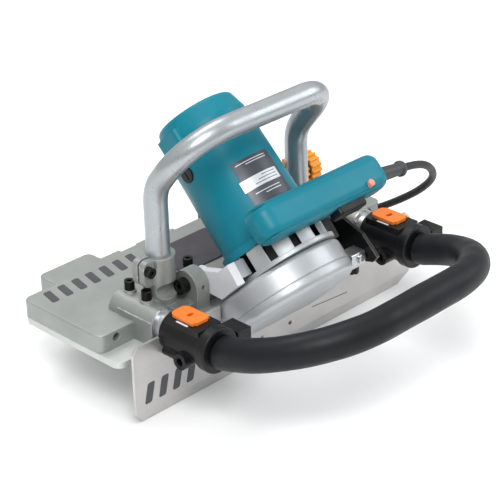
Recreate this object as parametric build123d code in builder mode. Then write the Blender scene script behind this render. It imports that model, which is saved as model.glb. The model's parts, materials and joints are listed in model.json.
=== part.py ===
from build123d import *
import os
from math import acos, cos, pi, radians, sin, sqrt, tan

# Stone trimming saw held at 45 degrees on a guide base with a fence. Millimetres, +Z up.
# +X runs along the fence, -Y is the front, and the origin is the work corner: the sole's
# underside (z = 0) meets the fence's rear face (y = 0) at mid length.

os.makedirs("parts", exist_ok=True)

# ---- driving dimensions: guide base ----
BASE_HALF = 196.0
SOLE_FRONT = 14.0
CAST_FRONT = 39.0
BASE_BACK = 151.0
SOLE_T = 6.4
CAST_TOP = 25.0
FENCE_HALF = 193.0
FENCE_T = 3.0
FENCE_TOP = 27.0
FENCE_BEND = -42.0
FENCE_FOOT = -56.0
FENCE_LEAN = 5.0
FENCE_RELIEF = 0.3
COUPLER_X = 138.0
COUPLER_Z = 25.0
PIVOT_Y = 27.0
PIVOT_Z = 46.0
POST_Y = 44.0
POST_LEFT = -114.6
POST_RIGHT = 73.0
HOOP_R = 11.5
SETSCREW_X = 175.7
SETSCREW_Z = 17.7

# ---- driving dimensions: saw unit ----
SAW_X = -10.0
BLADE_R = 62.5
BLADE_T = 2.0
GUARD_R = 70.0
GUARD_LOW = -17.0
GUARD_TOP = 20.0
GUARD_WALL = 3.2
CASE_TOP = 45.0
CASE_R = 50.0
CASE_FLOOR = -22.0
GEAR_GAP = 25.0
MODULE = 1.0
PINION_TEETH = 15
GEAR_TEETH = 35
HOUSING_R = 48.5
HOUSING_TOP = 165.0
CAP_TOP = 192.0
GRIP_B = 85.0
GRIP_H = 54.0
GRIP_DEEP = 36.0
GRIP_START = -70.0
GRIP_END = 98.0
FIT = 0.05
GAP = 0.3
BRUSH_H = 139.0
CORD_H = 50.0

# The saw leans at 45 degrees: SPIN is the motor and spindle direction, RISE lies in the blade's
# plane and points up and forward, and BLADE is the blade's centre.
S = sqrt(0.5)
SPIN = Vector(0, S, S)
RISE = Vector(0, -S, S)
BLADE = Vector(SAW_X, -18, 18)


def saw_point(x, b, h):
    """A point x along the fence, b along RISE and h along SPIN from the blade's centre."""
    return Vector(x, BLADE.Y - S * b + S * h, BLADE.Z + S * b + S * h)


def saw_plane(h, b=0.0, x=SAW_X):
    """A plane square to the motor axis; its own +Y points down RISE."""
    return Plane(origin=saw_point(x, b, h), x_dir=(1, 0, 0), z_dir=SPIN)


def saw_side(x, b=0.0, h=0.0):
    """A plane facing +X on the saw unit, its own +X along SPIN and its own +Y along RISE."""
    return Plane(origin=saw_point(x, b, h), x_dir=SPIN, z_dir=(1, 0, 0))


def save(builder, label):
    builder.part.label = label
    export_step(builder.part, f"parts/{label}.step")


def side_plane(x, y, z):
    """A plane facing +X, its own +X along world +Y and its own +Y along world +Z."""
    return Plane(origin=(x, y, z), x_dir=(0, 1, 0), z_dir=(1, 0, 0))


def front_plane(x, y, z):
    """A plane facing -Y, its own +X along world +X and its own +Y along world +Z."""
    return Plane(origin=(x, y, z), x_dir=(1, 0, 0), z_dir=(0, -1, 0))


def socket_screw(plane, head_r, head_h, shank_r, shank):
    """A socket head cap screw standing on the plane, its shank below it."""
    with BuildPart() as screw:
        with BuildSketch(plane):
            Circle(head_r)
        extrude(amount=head_h)
        with BuildSketch(plane.offset(head_h)):
            RegularPolygon(head_r * 0.58, 6)
        extrude(amount=-head_h * 0.55, mode=Mode.SUBTRACT)
        with BuildSketch(plane):
            Circle(shank_r)
        extrude(amount=-shank)
    return screw.part


def gather(pieces):
    """Several separate solids held in one builder."""
    with BuildPart() as group:
        add(pieces)
    return group


# ================= guide base =================
with BuildPart() as sole_plate:
    with BuildSketch(Plane.XY):
        with Locations((0, (SOLE_FRONT + BASE_BACK) / 2)):
            RectangleRounded(2 * BASE_HALF, BASE_BACK - SOLE_FRONT, 9)
    extrude(amount=SOLE_T)
save(sole_plate, "sole_plate")

TAB_X = 123.0
TAB_W = 66.0
TAB_BACK = 177.0
with BuildPart() as base_casting:
    with BuildSketch(Plane.XY.offset(SOLE_T)):
        with Locations((0, (CAST_FRONT + BASE_BACK) / 2)):
            RectangleRounded(2 * BASE_HALF, BASE_BACK - CAST_FRONT, 8)
        with Locations((-TAB_X, TAB_BACK - 20), (TAB_X, TAB_BACK - 20)):
            RectangleRounded(TAB_W, 40, 7)
        with Locations((-79, 149), (-32, 147)):
            Rectangle(26, 20)
        with Locations((-32, 147)):
            Rectangle(72, 16)
    extrude(amount=CAST_TOP - SOLE_T)
    fillet(base_casting.faces().sort_by(Axis.Z)[-1].edges(), 1.6)
    with BuildSketch(Plane.XY.offset(SOLE_T)):
        with Locations((0, 105)):
            with GridLocations(62, 0, 6, 1):
                RectangleRounded(54, 76, 5)
    extrude(amount=CAST_TOP - SOLE_T - 5, mode=Mode.SUBTRACT)
    for side in (-1, 1):
        with BuildSketch(front_plane(side * SETSCREW_X, CAST_FRONT, SETSCREW_Z)):
            Circle(4.25)
        extrude(amount=-24, mode=Mode.SUBTRACT)
save(base_casting, "base_casting")

MAT_T = 1.5
MAT_SCREW = (-45.0, 80.0)
with BuildPart() as splash_mat:
    with BuildSketch(Plane.XY.offset(CAST_TOP)):
        with Locations((-16, 100)):
            RectangleRounded(82, 57, 3)
    extrude(amount=MAT_T)
    with BuildSketch(Plane.XY.offset(CAST_TOP)):
        with Locations(MAT_SCREW):
            Circle(3)
    extrude(amount=MAT_T, mode=Mode.SUBTRACT)
save(splash_mat, "splash_mat")

BLOCK_FRONT = 15.0
RIDGE_R = 16.0
RIDGE_BACK = 74.0
FOOT_TOP = 31.0
TOWER_R = 16.0
TOWER_TOP = 80.0
CLAMP_LOW = 54.0
TUBE_SEAT = 56.0
BOSS_TOP = COUPLER_Z + 18.0
EAR_FRONT = 11.0
EAR_TOP_R = 16.0
EAR_LEFT = (-98.0, -82.0)
EAR_RIGHT = (58.0, 78.0)
PIN_R = 5.0
SCREW_SPOTS = ((0.0, 37.0), (3.0, 64.0))


def bracket(side, post_x, ear):
    """One cast bracket: coupler ridge, hoop tower with its split clamp, and pivot ear."""
    coupler_x = side * COUPLER_X
    outer = coupler_x + side * RIDGE_R
    inner = max(ear) if side < 0 else min(ear)
    middle = (outer + inner) / 2
    width = abs(outer - inner)
    clamp_x = post_x + side * 21
    with BuildPart() as piece:
        with BuildSketch(Plane.XY.offset(CAST_TOP)):
            with Locations((middle, (BLOCK_FRONT + 62) / 2)):
                Rectangle(width, 62 - BLOCK_FRONT)
        extrude(amount=FOOT_TOP - CAST_TOP)
        with BuildSketch(Plane.XY.offset(SOLE_T)):
            with Locations((middle, (BLOCK_FRONT + CAST_FRONT) / 2)):
                Rectangle(width, CAST_FRONT - BLOCK_FRONT)
        extrude(amount=FOOT_TOP - SOLE_T)
        with BuildSketch(front_plane(coupler_x, BLOCK_FRONT, COUPLER_Z)):
            Circle(RIDGE_R)
        extrude(amount=-(RIDGE_BACK - BLOCK_FRONT))
        for dx, y in SCREW_SPOTS:
            with BuildSketch(Plane((coupler_x + dx, y, CAST_TOP))):
                Circle(6.5)
            extrude(amount=BOSS_TOP - CAST_TOP)
        with BuildSketch(side_plane(ear[0], 0, 0)):
            with BuildLine():
                Polyline(
                    (EAR_FRONT, SOLE_T),
                    (EAR_FRONT, PIVOT_Z - 2),
                    (EAR_FRONT + 2 * EAR_TOP_R, PIVOT_Z - 2),
                    (EAR_FRONT + 2 * EAR_TOP_R + 10, FOOT_TOP),
                    (EAR_FRONT + 2 * EAR_TOP_R + 10, SOLE_T),
                    close=True,
                )
            make_face()
            with Locations((EAR_FRONT + EAR_TOP_R, PIVOT_Z - 2)):
                Circle(EAR_TOP_R)
        extrude(amount=ear[1] - ear[0])
        with BuildSketch(Plane((post_x, POST_Y, FOOT_TOP - 1))):
            Circle(TOWER_R)
        extrude(amount=TOWER_TOP - FOOT_TOP + 1)
        with BuildSketch(front_plane(clamp_x - side * 5, POST_Y - 8, 0)):
            with Locations((0, (CLAMP_LOW + TOWER_TOP) / 2)):
                RectangleRounded(20, TOWER_TOP - CLAMP_LOW, 6)
        extrude(amount=-16)
        # Everything behind the casting's front edge stands on the casting.
        with BuildSketch(Plane.XY):
            with Locations((middle, CAST_FRONT + 40)):
                Rectangle(width + 80, 80)
        extrude(amount=CAST_TOP, mode=Mode.SUBTRACT)
        with BuildSketch(Plane.XY):
            with Locations((middle, CAST_FRONT - 20)):
                Rectangle(width + 80, 40)
        extrude(amount=SOLE_T, mode=Mode.SUBTRACT)
        with BuildSketch(Plane((post_x, POST_Y, TUBE_SEAT))):
            Circle(HOOP_R)
        extrude(amount=TOWER_TOP - TUBE_SEAT + 1, mode=Mode.SUBTRACT)
        with BuildSketch(Plane((post_x + side * 20, POST_Y, TUBE_SEAT - 4))):
            Rectangle(40, 2.4)
        extrude(amount=TOWER_TOP, mode=Mode.SUBTRACT)
        with BuildSketch(front_plane(clamp_x, POST_Y - 8, TOWER_TOP - 9)):
            Circle(3)
        extrude(amount=-16, mode=Mode.SUBTRACT)
        with BuildSketch(side_plane(ear[0], PIVOT_Y, PIVOT_Z)):
            Circle(PIN_R)
        extrude(amount=ear[1] - ear[0], mode=Mode.SUBTRACT)
        outside = ear[0] if side < 0 else ear[1]
        with BuildSketch(side_plane(outside, PIVOT_Y, PIVOT_Z)):
            Circle(8)
        extrude(amount=side * 30, mode=Mode.SUBTRACT)
        with BuildSketch(front_plane((ear[0] + ear[1]) / 2, EAR_FRONT, PIVOT_Z - 1)):
            Circle(2)
        extrude(amount=-9, mode=Mode.SUBTRACT)
        for dx, y in SCREW_SPOTS:
            with BuildSketch(Plane((coupler_x + dx, y, CAST_TOP))):
                Circle(3)
            extrude(amount=BOSS_TOP - CAST_TOP, mode=Mode.SUBTRACT)
        with BuildSketch(front_plane(coupler_x, BLOCK_FRONT, COUPLER_Z)):
            Circle(8)
        extrude(amount=-15, mode=Mode.SUBTRACT)
    return piece


left_bracket = bracket(-1, POST_LEFT, EAR_LEFT)
save(left_bracket, "left_bracket")
right_bracket = bracket(1, POST_RIGHT, EAR_RIGHT)
save(right_bracket, "right_bracket")

screw_seats = [(side * COUPLER_X + dx, y, BOSS_TOP) for side in (-1, 1) for dx, y in SCREW_SPOTS]
screw_seats.append((*MAT_SCREW, CAST_TOP + MAT_T))
base_screws = gather([
    socket_screw(Plane(seat), 5, 9, 3 - FIT, seat[2] - CAST_TOP) for seat in screw_seats
])
save(base_screws, "base_screws")

clamp_screws = gather([
    socket_screw(front_plane(post_x + side * 21, POST_Y - 8, TOWER_TOP - 9), 5.2, 6, 3 - FIT, 15)
    for side, post_x in ((-1, POST_LEFT), (1, POST_RIGHT))
])
save(clamp_screws, "clamp_screws")

ARM_LEFT = (-81.6, -72.0)
ARM_RIGHT = (47.0, 57.6)
with BuildPart() as pivot_pins:
    for side, ear, arm in ((-1, EAR_LEFT, ARM_LEFT), (1, EAR_RIGHT, ARM_RIGHT)):
        outside = ear[0] if side < 0 else ear[1]
        inside = arm[1] if side < 0 else arm[0]
        with BuildSketch(side_plane(outside, PIVOT_Y, PIVOT_Z)):
            Circle(PIN_R)
        extrude(amount=inside - outside)
        with BuildSketch(side_plane(outside, PIVOT_Y, PIVOT_Z)):
            Circle(7.6)
        extrude(amount=side * 8)
        with BuildSketch(side_plane(outside + side * 8, PIVOT_Y, PIVOT_Z)):
            RegularPolygon(4, 6)
        extrude(amount=-side * 5, mode=Mode.SUBTRACT)
save(pivot_pins, "pivot_pins")

# Fence: a folded plate with a window for the guard, a slot for the blade and coupler notches.
# Its rear face is relieved above the sole, so the work bears on the part below it alone.
WINDOW_HALF = 72.0
SLOT_HALF = 62.0
SLOT_LOW = -14.0
FENCE_HOLE_X = (-27.5, 12.0)
FENCE_HOLE_Z = -30.0
with BuildPart() as fence_plate:
    with BuildSketch(side_plane(-FENCE_HALF, 0, 0)):
        with BuildLine():
            Polyline(
                (-FENCE_T, FENCE_TOP),
                (-FENCE_RELIEF, FENCE_TOP),
                (-FENCE_RELIEF, 0),
                (0, 0),
                (0, FENCE_BEND + 0.5),
                (FENCE_LEAN, FENCE_FOOT + 0.9),
                (FENCE_LEAN - 2.8, FENCE_FOOT),
                (-FENCE_T, FENCE_BEND),
                close=True,
            )
        make_face()
    extrude(amount=2 * FENCE_HALF)
    with BuildSketch(front_plane(0, 0, 0)):
        with Locations((SAW_X, 20 - 1)):
            Rectangle(2 * WINDOW_HALF, 40)
        with Locations((SAW_X, SLOT_LOW + 10)):
            Rectangle(2 * SLOT_HALF, 20)
        with Locations((86, 29)):
            Rectangle(8, 40)
        for side in (-1, 1):
            with Locations((side * COUPLER_X, COUPLER_Z)):
                Circle(22.6)
    extrude(amount=FENCE_T + 1, both=True, mode=Mode.SUBTRACT)
    with BuildSketch(front_plane(0, -FENCE_T, 0)):
        with Locations(*[(x, FENCE_HOLE_Z) for x in FENCE_HOLE_X]):
            Circle(2.2)
    extrude(amount=-FENCE_T, mode=Mode.SUBTRACT)
    chamfer(fence_plate.edges().filter_by(Axis.Y).filter_by(
        lambda e: abs(abs(e.center().X) - FENCE_HALF) < 0.01 and e.center().Z > 20), 6)
    with BuildSketch(front_plane(0, 20, 0)):
        for side in (-1, 1):
            with BuildLine():
                Polyline(
                    (side * (FENCE_HALF + 1), FENCE_FOOT - 1),
                    (side * (FENCE_HALF + 1), FENCE_FOOT + 14),
                    (side * (FENCE_HALF - 13), FENCE_FOOT - 1),
                    close=True,
                )
            make_face()
    extrude(amount=40, mode=Mode.SUBTRACT)
save(fence_plate, "fence_plate")

with BuildPart() as fence_spacers:
    for ear in (EAR_LEFT, (62.5, 78.0)):
        with BuildSketch(front_plane((ear[0] + ear[1]) / 2, EAR_FRONT, 16)):
            Rectangle(14, 14)
        extrude(amount=EAR_FRONT + FENCE_RELIEF)
save(fence_spacers, "fence_spacers")

# Hoop handle: a bent tube whose upper half leans forward over the motor.
HOOP_KNEE = 146.0
HOOP_TOP = 204.0
HOOP_TOP_Y = -2.0
hoop_points = [
    (POST_LEFT, POST_Y, TUBE_SEAT),
    (POST_LEFT, POST_Y, HOOP_KNEE),
    (POST_LEFT, HOOP_TOP_Y, HOOP_TOP),
    (POST_RIGHT, HOOP_TOP_Y, HOOP_TOP),
    (POST_RIGHT, POST_Y, HOOP_KNEE),
    (POST_RIGHT, POST_Y, TUBE_SEAT),
]
with BuildPart() as hoop_handle:
    with BuildLine():
        FilletPolyline(*hoop_points, radius=[40, 50, 38, 40])
    with BuildSketch(Plane(hoop_points[0])):
        Circle(HOOP_R)
        Circle(HOOP_R - 2.5, mode=Mode.SUBTRACT)
    sweep()
save(hoop_handle, "hoop_handle")

# ---- quick couplers that carry the front handle ----
HEAD_BACK = 3.0
RING_START = -50.0
HEAD_FRONT = -60.0
HEAD_R = 20.0
TUBE_R = 11.0
LATCH_Z = COUPLER_Z + 20.0
KNOB_Y = -44.0
KNOB_Z = COUPLER_Z - 1.0
STEM_R = 4.0
with BuildPart() as coupler_collars:
    for side in (-1, 1):
        with BuildSketch(front_plane(side * COUPLER_X, BLOCK_FRONT, COUPLER_Z)):
            Circle(17)
        extrude(amount=2)
        with BuildSketch(front_plane(side * COUPLER_X, BLOCK_FRONT, COUPLER_Z)):
            Circle(14)
        extrude(amount=BLOCK_FRONT - HEAD_BACK)
        with BuildSketch(front_plane(side * COUPLER_X, BLOCK_FRONT, COUPLER_Z)):
            Circle(8)
        extrude(amount=-15)
save(coupler_collars, "coupler_collars")


def coupler(cx):
    """A clamp head: barrel, end ring, latch pad, clamp bolt boss and knob boss."""
    with BuildPart() as piece:
        with BuildSketch(front_plane(cx, HEAD_BACK, COUPLER_Z)):
            Circle(HEAD_R)
        extrude(amount=HEAD_BACK - RING_START)
        chamfer(piece.edges().group_by(Axis.Y)[-1], 2.5)
        with BuildSketch(front_plane(cx, RING_START, COUPLER_Z)):
            Circle(HEAD_R + 2.4)
        extrude(amount=RING_START - HEAD_FRONT)
        with BuildSketch(front_plane(cx, -3, COUPLER_Z + 12)):
            Rectangle(29, 16)
        extrude(amount=44)
        fillet(piece.edges().group_by(Axis.Y)[0], 1.8)
        with BuildSketch(side_plane(cx - 25, -32, COUPLER_Z - 12)):
            Circle(8)
        extrude(amount=22)
        with BuildSketch(front_plane(cx - 15, -4, COUPLER_Z - 13)):
            Circle(5.5)
        extrude(amount=17)
        with BuildSketch(side_plane(cx + 10, KNOB_Y, KNOB_Z)):
            Circle(7)
        extrude(amount=14)
        with BuildSketch(front_plane(cx, HEAD_FRONT, COUPLER_Z)):
            Circle(TUBE_R + FIT)
        extrude(amount=HEAD_FRONT, mode=Mode.SUBTRACT)
        with BuildSketch(side_plane(cx - 25, -32, COUPLER_Z - 12)):
            RegularPolygon(4.6, 6)
        extrude(amount=6, mode=Mode.SUBTRACT)
        with BuildSketch(side_plane(cx + 24, KNOB_Y, KNOB_Z)):
            Circle(STEM_R + FIT)
        extrude(amount=-10, mode=Mode.SUBTRACT)
        with BuildSketch(Plane((cx, -25, LATCH_Z))):
            Rectangle(4 + 2 * GAP, 26)
        extrude(amount=-4, mode=Mode.SUBTRACT)
    return piece


def latch(cx):
    """A sliding latch plate with a guide rib, rounded at the rear and notched at the front."""
    with BuildPart() as piece:
        with BuildSketch(Plane((cx, -24, LATCH_Z + GAP))):
            Rectangle(21, 28)
            with Locations((0, 12)):
                RectangleRounded(21, 14, 6.5)
            with Locations((-9, -14), (9, -14)):
                Circle(2.2, mode=Mode.SUBTRACT)
            with Locations((0, 2)):
                SlotOverall(8, 4.4, mode=Mode.SUBTRACT)
        extrude(amount=3.4)
        with BuildSketch(Plane((cx, -24, LATCH_Z + GAP))):
            with Locations((0, -7), (0, 9)):
                Rectangle(4, 4)
        extrude(amount=-3)
    return piece


def wing_knob(cx):
    """A clamp knob: round stem, collar and a faceted grip block."""
    with BuildPart() as piece:
        with BuildSketch(side_plane(cx + 14.4, KNOB_Y, KNOB_Z)):
            Circle(STEM_R)
        extrude(amount=11)
        with BuildSketch(side_plane(cx + 24.4, KNOB_Y, KNOB_Z)):
            Circle(6.5)
        extrude(amount=4)
        with BuildSketch(side_plane(cx + 27, KNOB_Y, KNOB_Z)):
            Rectangle(24, 14)
        extrude(amount=19)
        chamfer(piece.faces().sort_by(Axis.X)[-1].edges(), 2.5)
    return piece


for side, name in ((-1, "left"), (1, "right")):
    save(coupler(side * COUPLER_X), name + "_coupler")
    save(latch(side * COUPLER_X), name + "_latch")
    save(wing_knob(side * COUPLER_X), name + "_knob")

# ---- front handle: a steel U in a foam grip, rising from the couplers ----
BEND_Y = -66.0
GRIP_RISE = 18.0
U_REACH = 116.0
U_CORNER = 94.0
FOAM_R = 16.0


def front_handle_point(x, reach):
    return (
        x,
        BEND_Y - reach * cos(radians(GRIP_RISE)),
        COUPLER_Z + reach * sin(radians(GRIP_RISE)),
    )


def front_handle_path(tail):
    """The tube's centre line, starting and ending the given distance behind the bends."""
    return FilletPolyline(
        (-COUPLER_X, BEND_Y + tail, COUPLER_Z),
        (-COUPLER_X, BEND_Y, COUPLER_Z),
        front_handle_point(-COUPLER_X - 3, U_REACH),
        front_handle_point(COUPLER_X + 3, U_REACH),
        (COUPLER_X, BEND_Y, COUPLER_Z),
        (COUPLER_X, BEND_Y + tail, COUPLER_Z),
        radius=[20, U_CORNER, U_CORNER, 20],
    )


with BuildPart() as handle_tube:
    with BuildLine():
        front_handle_path(64)
    with BuildSketch(front_plane(-COUPLER_X, BEND_Y + 64, COUPLER_Z)):
        Circle(TUBE_R)
        Circle(TUBE_R - 2, mode=Mode.SUBTRACT)
    sweep()
save(handle_tube, "handle_tube")

with BuildPart() as foam_grip:
    with BuildLine():
        front_handle_path(5)
    with BuildSketch(front_plane(-COUPLER_X, BEND_Y + 5, COUPLER_Z)):
        Circle(FOAM_R)
        Circle(TUBE_R + FIT, mode=Mode.SUBTRACT)
    sweep()
save(foam_grip, "foam_grip")

# ---- depth stop on the right ear ----
STOP_X = 84.0
with BuildPart() as stop_bracket:
    with BuildSketch(side_plane(STOP_X, 0, 0)):
        with BuildLine():
            Polyline(
                (17, 52), (-8, 60), (-33, 51), (-53, 32), (-48, 25), (-7, 15), (10, 15), (10, 34), (17, 36),
                close=True,
            )
        make_face()
    extrude(amount=4)
    with BuildSketch(side_plane(STOP_X, 14.6, 42)):
        Circle(3.4)
    extrude(amount=EAR_RIGHT[1] - STOP_X)
save(stop_bracket, "stop_bracket")

with BuildPart() as stop_block:
    with BuildSketch(side_plane(STOP_X, -29, 27)):
        Rectangle(17, 16)
    extrude(amount=-19)
    fillet(stop_block.edges().filter_by(Axis.X), 2)
    with BuildSketch(Plane((STOP_X - 9, -29, 19))):
        Circle(3 + FIT)
    extrude(amount=9, mode=Mode.SUBTRACT)
    with BuildSketch(front_plane(STOP_X - 6, -37.5, 28)):
        Circle(4.8)
        RegularPolygon(2.6, 6, mode=Mode.SUBTRACT)
    extrude(amount=2.5)
save(stop_block, "stop_block")

with BuildPart() as stop_screw:
    with BuildSketch(Plane((STOP_X - 9, -29, 11))):
        Circle(6.5)
        with PolarLocations(6.5, 6):
            Circle(1.3, mode=Mode.SUBTRACT)
    extrude(amount=7)
    with BuildSketch(Plane((STOP_X - 9, -29, 18))):
        Circle(3)
    extrude(amount=8)
save(stop_screw, "stop_screw")

# ================= saw unit =================
with BuildPart() as blade_guard:
    with BuildSketch(saw_plane(GUARD_LOW)):
        Circle(GUARD_R)
    extrude(amount=GUARD_TOP - GUARD_LOW)
    fillet(blade_guard.edges().sort_by(Axis(BLADE, SPIN))[0], 9)
    fillet(blade_guard.edges().sort_by(Axis(BLADE, SPIN))[-1], 6)
    with BuildSketch(saw_plane(-3.5)):
        Circle(GUARD_R + 1)
        Circle(GUARD_R - 0.8, mode=Mode.SUBTRACT)
    extrude(amount=1.2, mode=Mode.SUBTRACT)
    with BuildSketch(saw_plane(GUARD_LOW + GUARD_WALL)):
        Circle(GUARD_R - GUARD_WALL)
    extrude(amount=GUARD_TOP - GUARD_LOW - 2 * GUARD_WALL, mode=Mode.SUBTRACT)
    with BuildSketch(saw_plane(0)):
        Circle(15)
    extrude(amount=GUARD_TOP, mode=Mode.SUBTRACT)
    # Open underside: the front wall reaches down the fence, the rest stops above the base.
    with BuildSketch(saw_plane(GUARD_LOW - 1, b=-38 - 40)):
        Rectangle(200, 80)
    extrude(amount=60, mode=Mode.SUBTRACT)
    with BuildSketch(Plane.XY.offset(-60)):
        with Locations((SAW_X, -3.4 + 30)):
            Rectangle(200, 60)
    extrude(amount=60, mode=Mode.SUBTRACT)
    with BuildSketch(side_plane(SAW_X - 100, 0, 0)):
        with BuildLine():
            Polyline((-3.4, -1), (-3.4, 1.4), (30, 34.8), (30, -1), close=True)
        make_face()
    extrude(amount=200, mode=Mode.SUBTRACT)
save(blade_guard, "blade_guard")

PLATE_LOW = 38.0
CAVITY_LOW = 28.4
SLOT_FIRST = 12.0
SLOT_PITCH = 30.0
FLANGE_SCREW_R = 44.0


def flange_screw_spots():
    """Positions (x, b) of the four flange screws, each between two cooling slots."""
    angles = [-radians(SLOT_FIRST + SLOT_PITCH / 2 + turn) for turn in (0, 90, 180, 270)]
    return [
        (SAW_X + FLANGE_SCREW_R * cos(angle), GEAR_GAP + FLANGE_SCREW_R * sin(angle)) for angle in angles
    ]


with BuildPart() as gear_case:
    with BuildSketch(saw_plane(GUARD_TOP)):
        with Locations((0, -GEAR_GAP)):
            Circle(CASE_R)
        with Locations((0, -(CASE_FLOOR + GEAR_GAP) / 2)):
            Rectangle(92, GEAR_GAP - CASE_FLOOR)
    extrude(amount=CASE_TOP - GUARD_TOP)
    with BuildSketch(saw_plane(GUARD_TOP)):
        with Locations((0, -GEAR_GAP)):
            Circle(CASE_R + 3)
        with Locations((0, -2)):
            Circle(56)
        with Locations((0, 80 - CASE_FLOOR)):
            Rectangle(200, 160, mode=Mode.SUBTRACT)
    extrude(amount=4)
    # Cooling slots around the case, open at the top.
    with BuildSketch(saw_plane(GUARD_TOP + 5, b=GEAR_GAP)):
        with PolarLocations(CASE_R - 2.5, round(360 / SLOT_PITCH), start_angle=SLOT_FIRST):
            Rectangle(9, 8.5)
    extrude(amount=30, mode=Mode.SUBTRACT)
    # Side lugs that the cradle arms bolt to.
    for x_from, x_to in ((ARM_LEFT[1], SAW_X - 44), (SAW_X + 44, ARM_RIGHT[0])):
        with BuildSketch(saw_side(x_from)):
            with Locations((34.5, 18)):
                Rectangle(17, 32)
        extrude(amount=x_to - x_from)
    for x, b in flange_screw_spots():
        with BuildSketch(saw_plane(CASE_TOP, b=b, x=x)):
            Circle(2 + FIT)
        extrude(amount=-12, mode=Mode.SUBTRACT)
    with BuildSketch(saw_plane(CAVITY_LOW)):
        Circle(20)
        with Locations((0, -GEAR_GAP)):
            Circle(11)
    extrude(amount=CASE_TOP, mode=Mode.SUBTRACT)
    with BuildSketch(saw_plane(21)):
        Circle(11 + FIT)
    extrude(amount=10, mode=Mode.SUBTRACT)
    with BuildSketch(saw_plane(GUARD_TOP)):
        Circle(7)
    extrude(amount=4, mode=Mode.SUBTRACT)
    with BuildSketch(saw_plane(PLATE_LOW)):
        with Locations((0, -GEAR_GAP)):
            Circle(38)
    extrude(amount=CASE_TOP, mode=Mode.SUBTRACT)
save(gear_case, "gear_case")

with BuildPart() as bearing_plate:
    with BuildSketch(saw_plane(PLATE_LOW)):
        with Locations((0, -GEAR_GAP)):
            Circle(38 - FIT)
            Circle(11 + FIT, mode=Mode.SUBTRACT)
        Circle(7, mode=Mode.SUBTRACT)
        with Locations((0, -GEAR_GAP)):
            with PolarLocations(28, 6, start_angle=0):
                Circle(5, mode=Mode.SUBTRACT)
    extrude(amount=7)
save(bearing_plate, "bearing_plate")

HOUSING_WALL = 3.5
with BuildPart() as motor_housing:
    with BuildSketch(saw_plane(CASE_TOP, b=GEAR_GAP)):
        Circle(CASE_R + 2)
    extrude(amount=8)
    with BuildSketch(saw_plane(CASE_TOP + 8, b=GEAR_GAP)):
        Circle(HOUSING_R)
    extrude(amount=HOUSING_TOP - CASE_TOP - 8, taper=1.2)
    with BuildSketch(saw_plane(CASE_TOP, b=GEAR_GAP)):
        Circle(HOUSING_R - HOUSING_WALL - 2.5)
    extrude(amount=HOUSING_TOP, mode=Mode.SUBTRACT)
    # Seats of the brush caps.
    with BuildSketch(saw_side(SAW_X - 60, GEAR_GAP, BRUSH_H)):
        Circle(8)
    extrude(amount=120, mode=Mode.SUBTRACT)
save(motor_housing, "motor_housing")

CAP_R = 45.5
with BuildPart() as rear_cap:
    with BuildSketch(saw_plane(HOUSING_TOP, b=GEAR_GAP)):
        Circle(CAP_R)
    extrude(amount=8)
    with BuildSketch(saw_plane(HOUSING_TOP + 8, b=GEAR_GAP)):
        Circle(CAP_R)
    extrude(amount=CAP_TOP - HOUSING_TOP - 8, taper=16)
    fillet(rear_cap.edges().sort_by(Axis(BLADE, SPIN))[-1], 5)
    with BuildSketch(saw_plane(HOUSING_TOP, b=GEAR_GAP, x=SAW_X - 34)):
        RectangleRounded(26, 34, 5)
    extrude(amount=16)
    with BuildSketch(saw_plane(HOUSING_TOP, b=GEAR_GAP)):
        Circle(CAP_R - HOUSING_WALL - 2)
    extrude(amount=18, mode=Mode.SUBTRACT)
    with BuildSketch(saw_plane(HOUSING_TOP, b=GEAR_GAP)):
        Circle(15)
        Circle(11 + FIT, mode=Mode.SUBTRACT)
    extrude(amount=18)
save(rear_cap, "rear_cap")

# ---- motor inside ----
with BuildPart() as stator_core:
    with BuildSketch(saw_plane(72, b=GEAR_GAP)):
        Circle(41)
        Circle(24.6, mode=Mode.SUBTRACT)
    extrude(amount=52)
save(stator_core, "stator_core")

with BuildPart() as field_coils:
    for h in (62, 124):
        with BuildSketch(saw_plane(h, b=GEAR_GAP)):
            Circle(38)
            Circle(27, mode=Mode.SUBTRACT)
        extrude(amount=10 if h < 100 else 8)
save(field_coils, "field_coils")

SHAFT_R = 5.0
with BuildPart() as motor_shaft:
    with BuildSketch(saw_plane(38.2, b=GEAR_GAP)):
        Circle(SHAFT_R)
    extrude(amount=142)
save(motor_shaft, "motor_shaft")

with BuildPart() as armature_core:
    with BuildSketch(saw_plane(73, b=GEAR_GAP)):
        Circle(24)
        Circle(SHAFT_R, mode=Mode.SUBTRACT)
        with PolarLocations(22.5, 14):
            Rectangle(4, 3, mode=Mode.SUBTRACT)
    extrude(amount=50)
save(armature_core, "armature_core")

with BuildPart() as commutator:
    with BuildSketch(saw_plane(130, b=GEAR_GAP)):
        Circle(14)
        Circle(SHAFT_R, mode=Mode.SUBTRACT)
        with PolarLocations(14, 24):
            Rectangle(1.6, 0.7, mode=Mode.SUBTRACT)
    extrude(amount=18)
save(commutator, "commutator")

with BuildPart() as cooling_fan:
    with BuildSketch(saw_plane(48, b=GEAR_GAP)):
        Circle(39)
        Circle(SHAFT_R, mode=Mode.SUBTRACT)
    extrude(amount=2)
    with BuildSketch(saw_plane(48, b=GEAR_GAP)):
        Circle(11)
        Circle(SHAFT_R, mode=Mode.SUBTRACT)
    extrude(amount=12)
    with BuildSketch(saw_plane(50, b=GEAR_GAP)):
        with PolarLocations(28, 11):
            Rectangle(20, 1.8)
    extrude(amount=8)
save(cooling_fan, "cooling_fan")


def ball_bearing(h, b, inner, outer, width):
    """A shielded bearing as one ring with a shield groove in each face."""
    with BuildPart() as ring:
        with BuildSketch(saw_plane(h, b=b)):
            Circle(outer)
            Circle(inner, mode=Mode.SUBTRACT)
        extrude(amount=width)
        for face_h in (h, h + width - 0.6):
            with BuildSketch(saw_plane(face_h, b=b)):
                Circle(outer - 2)
                Circle(inner + 1.5, mode=Mode.SUBTRACT)
            extrude(amount=0.6, mode=Mode.SUBTRACT)
    return ring.part


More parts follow.
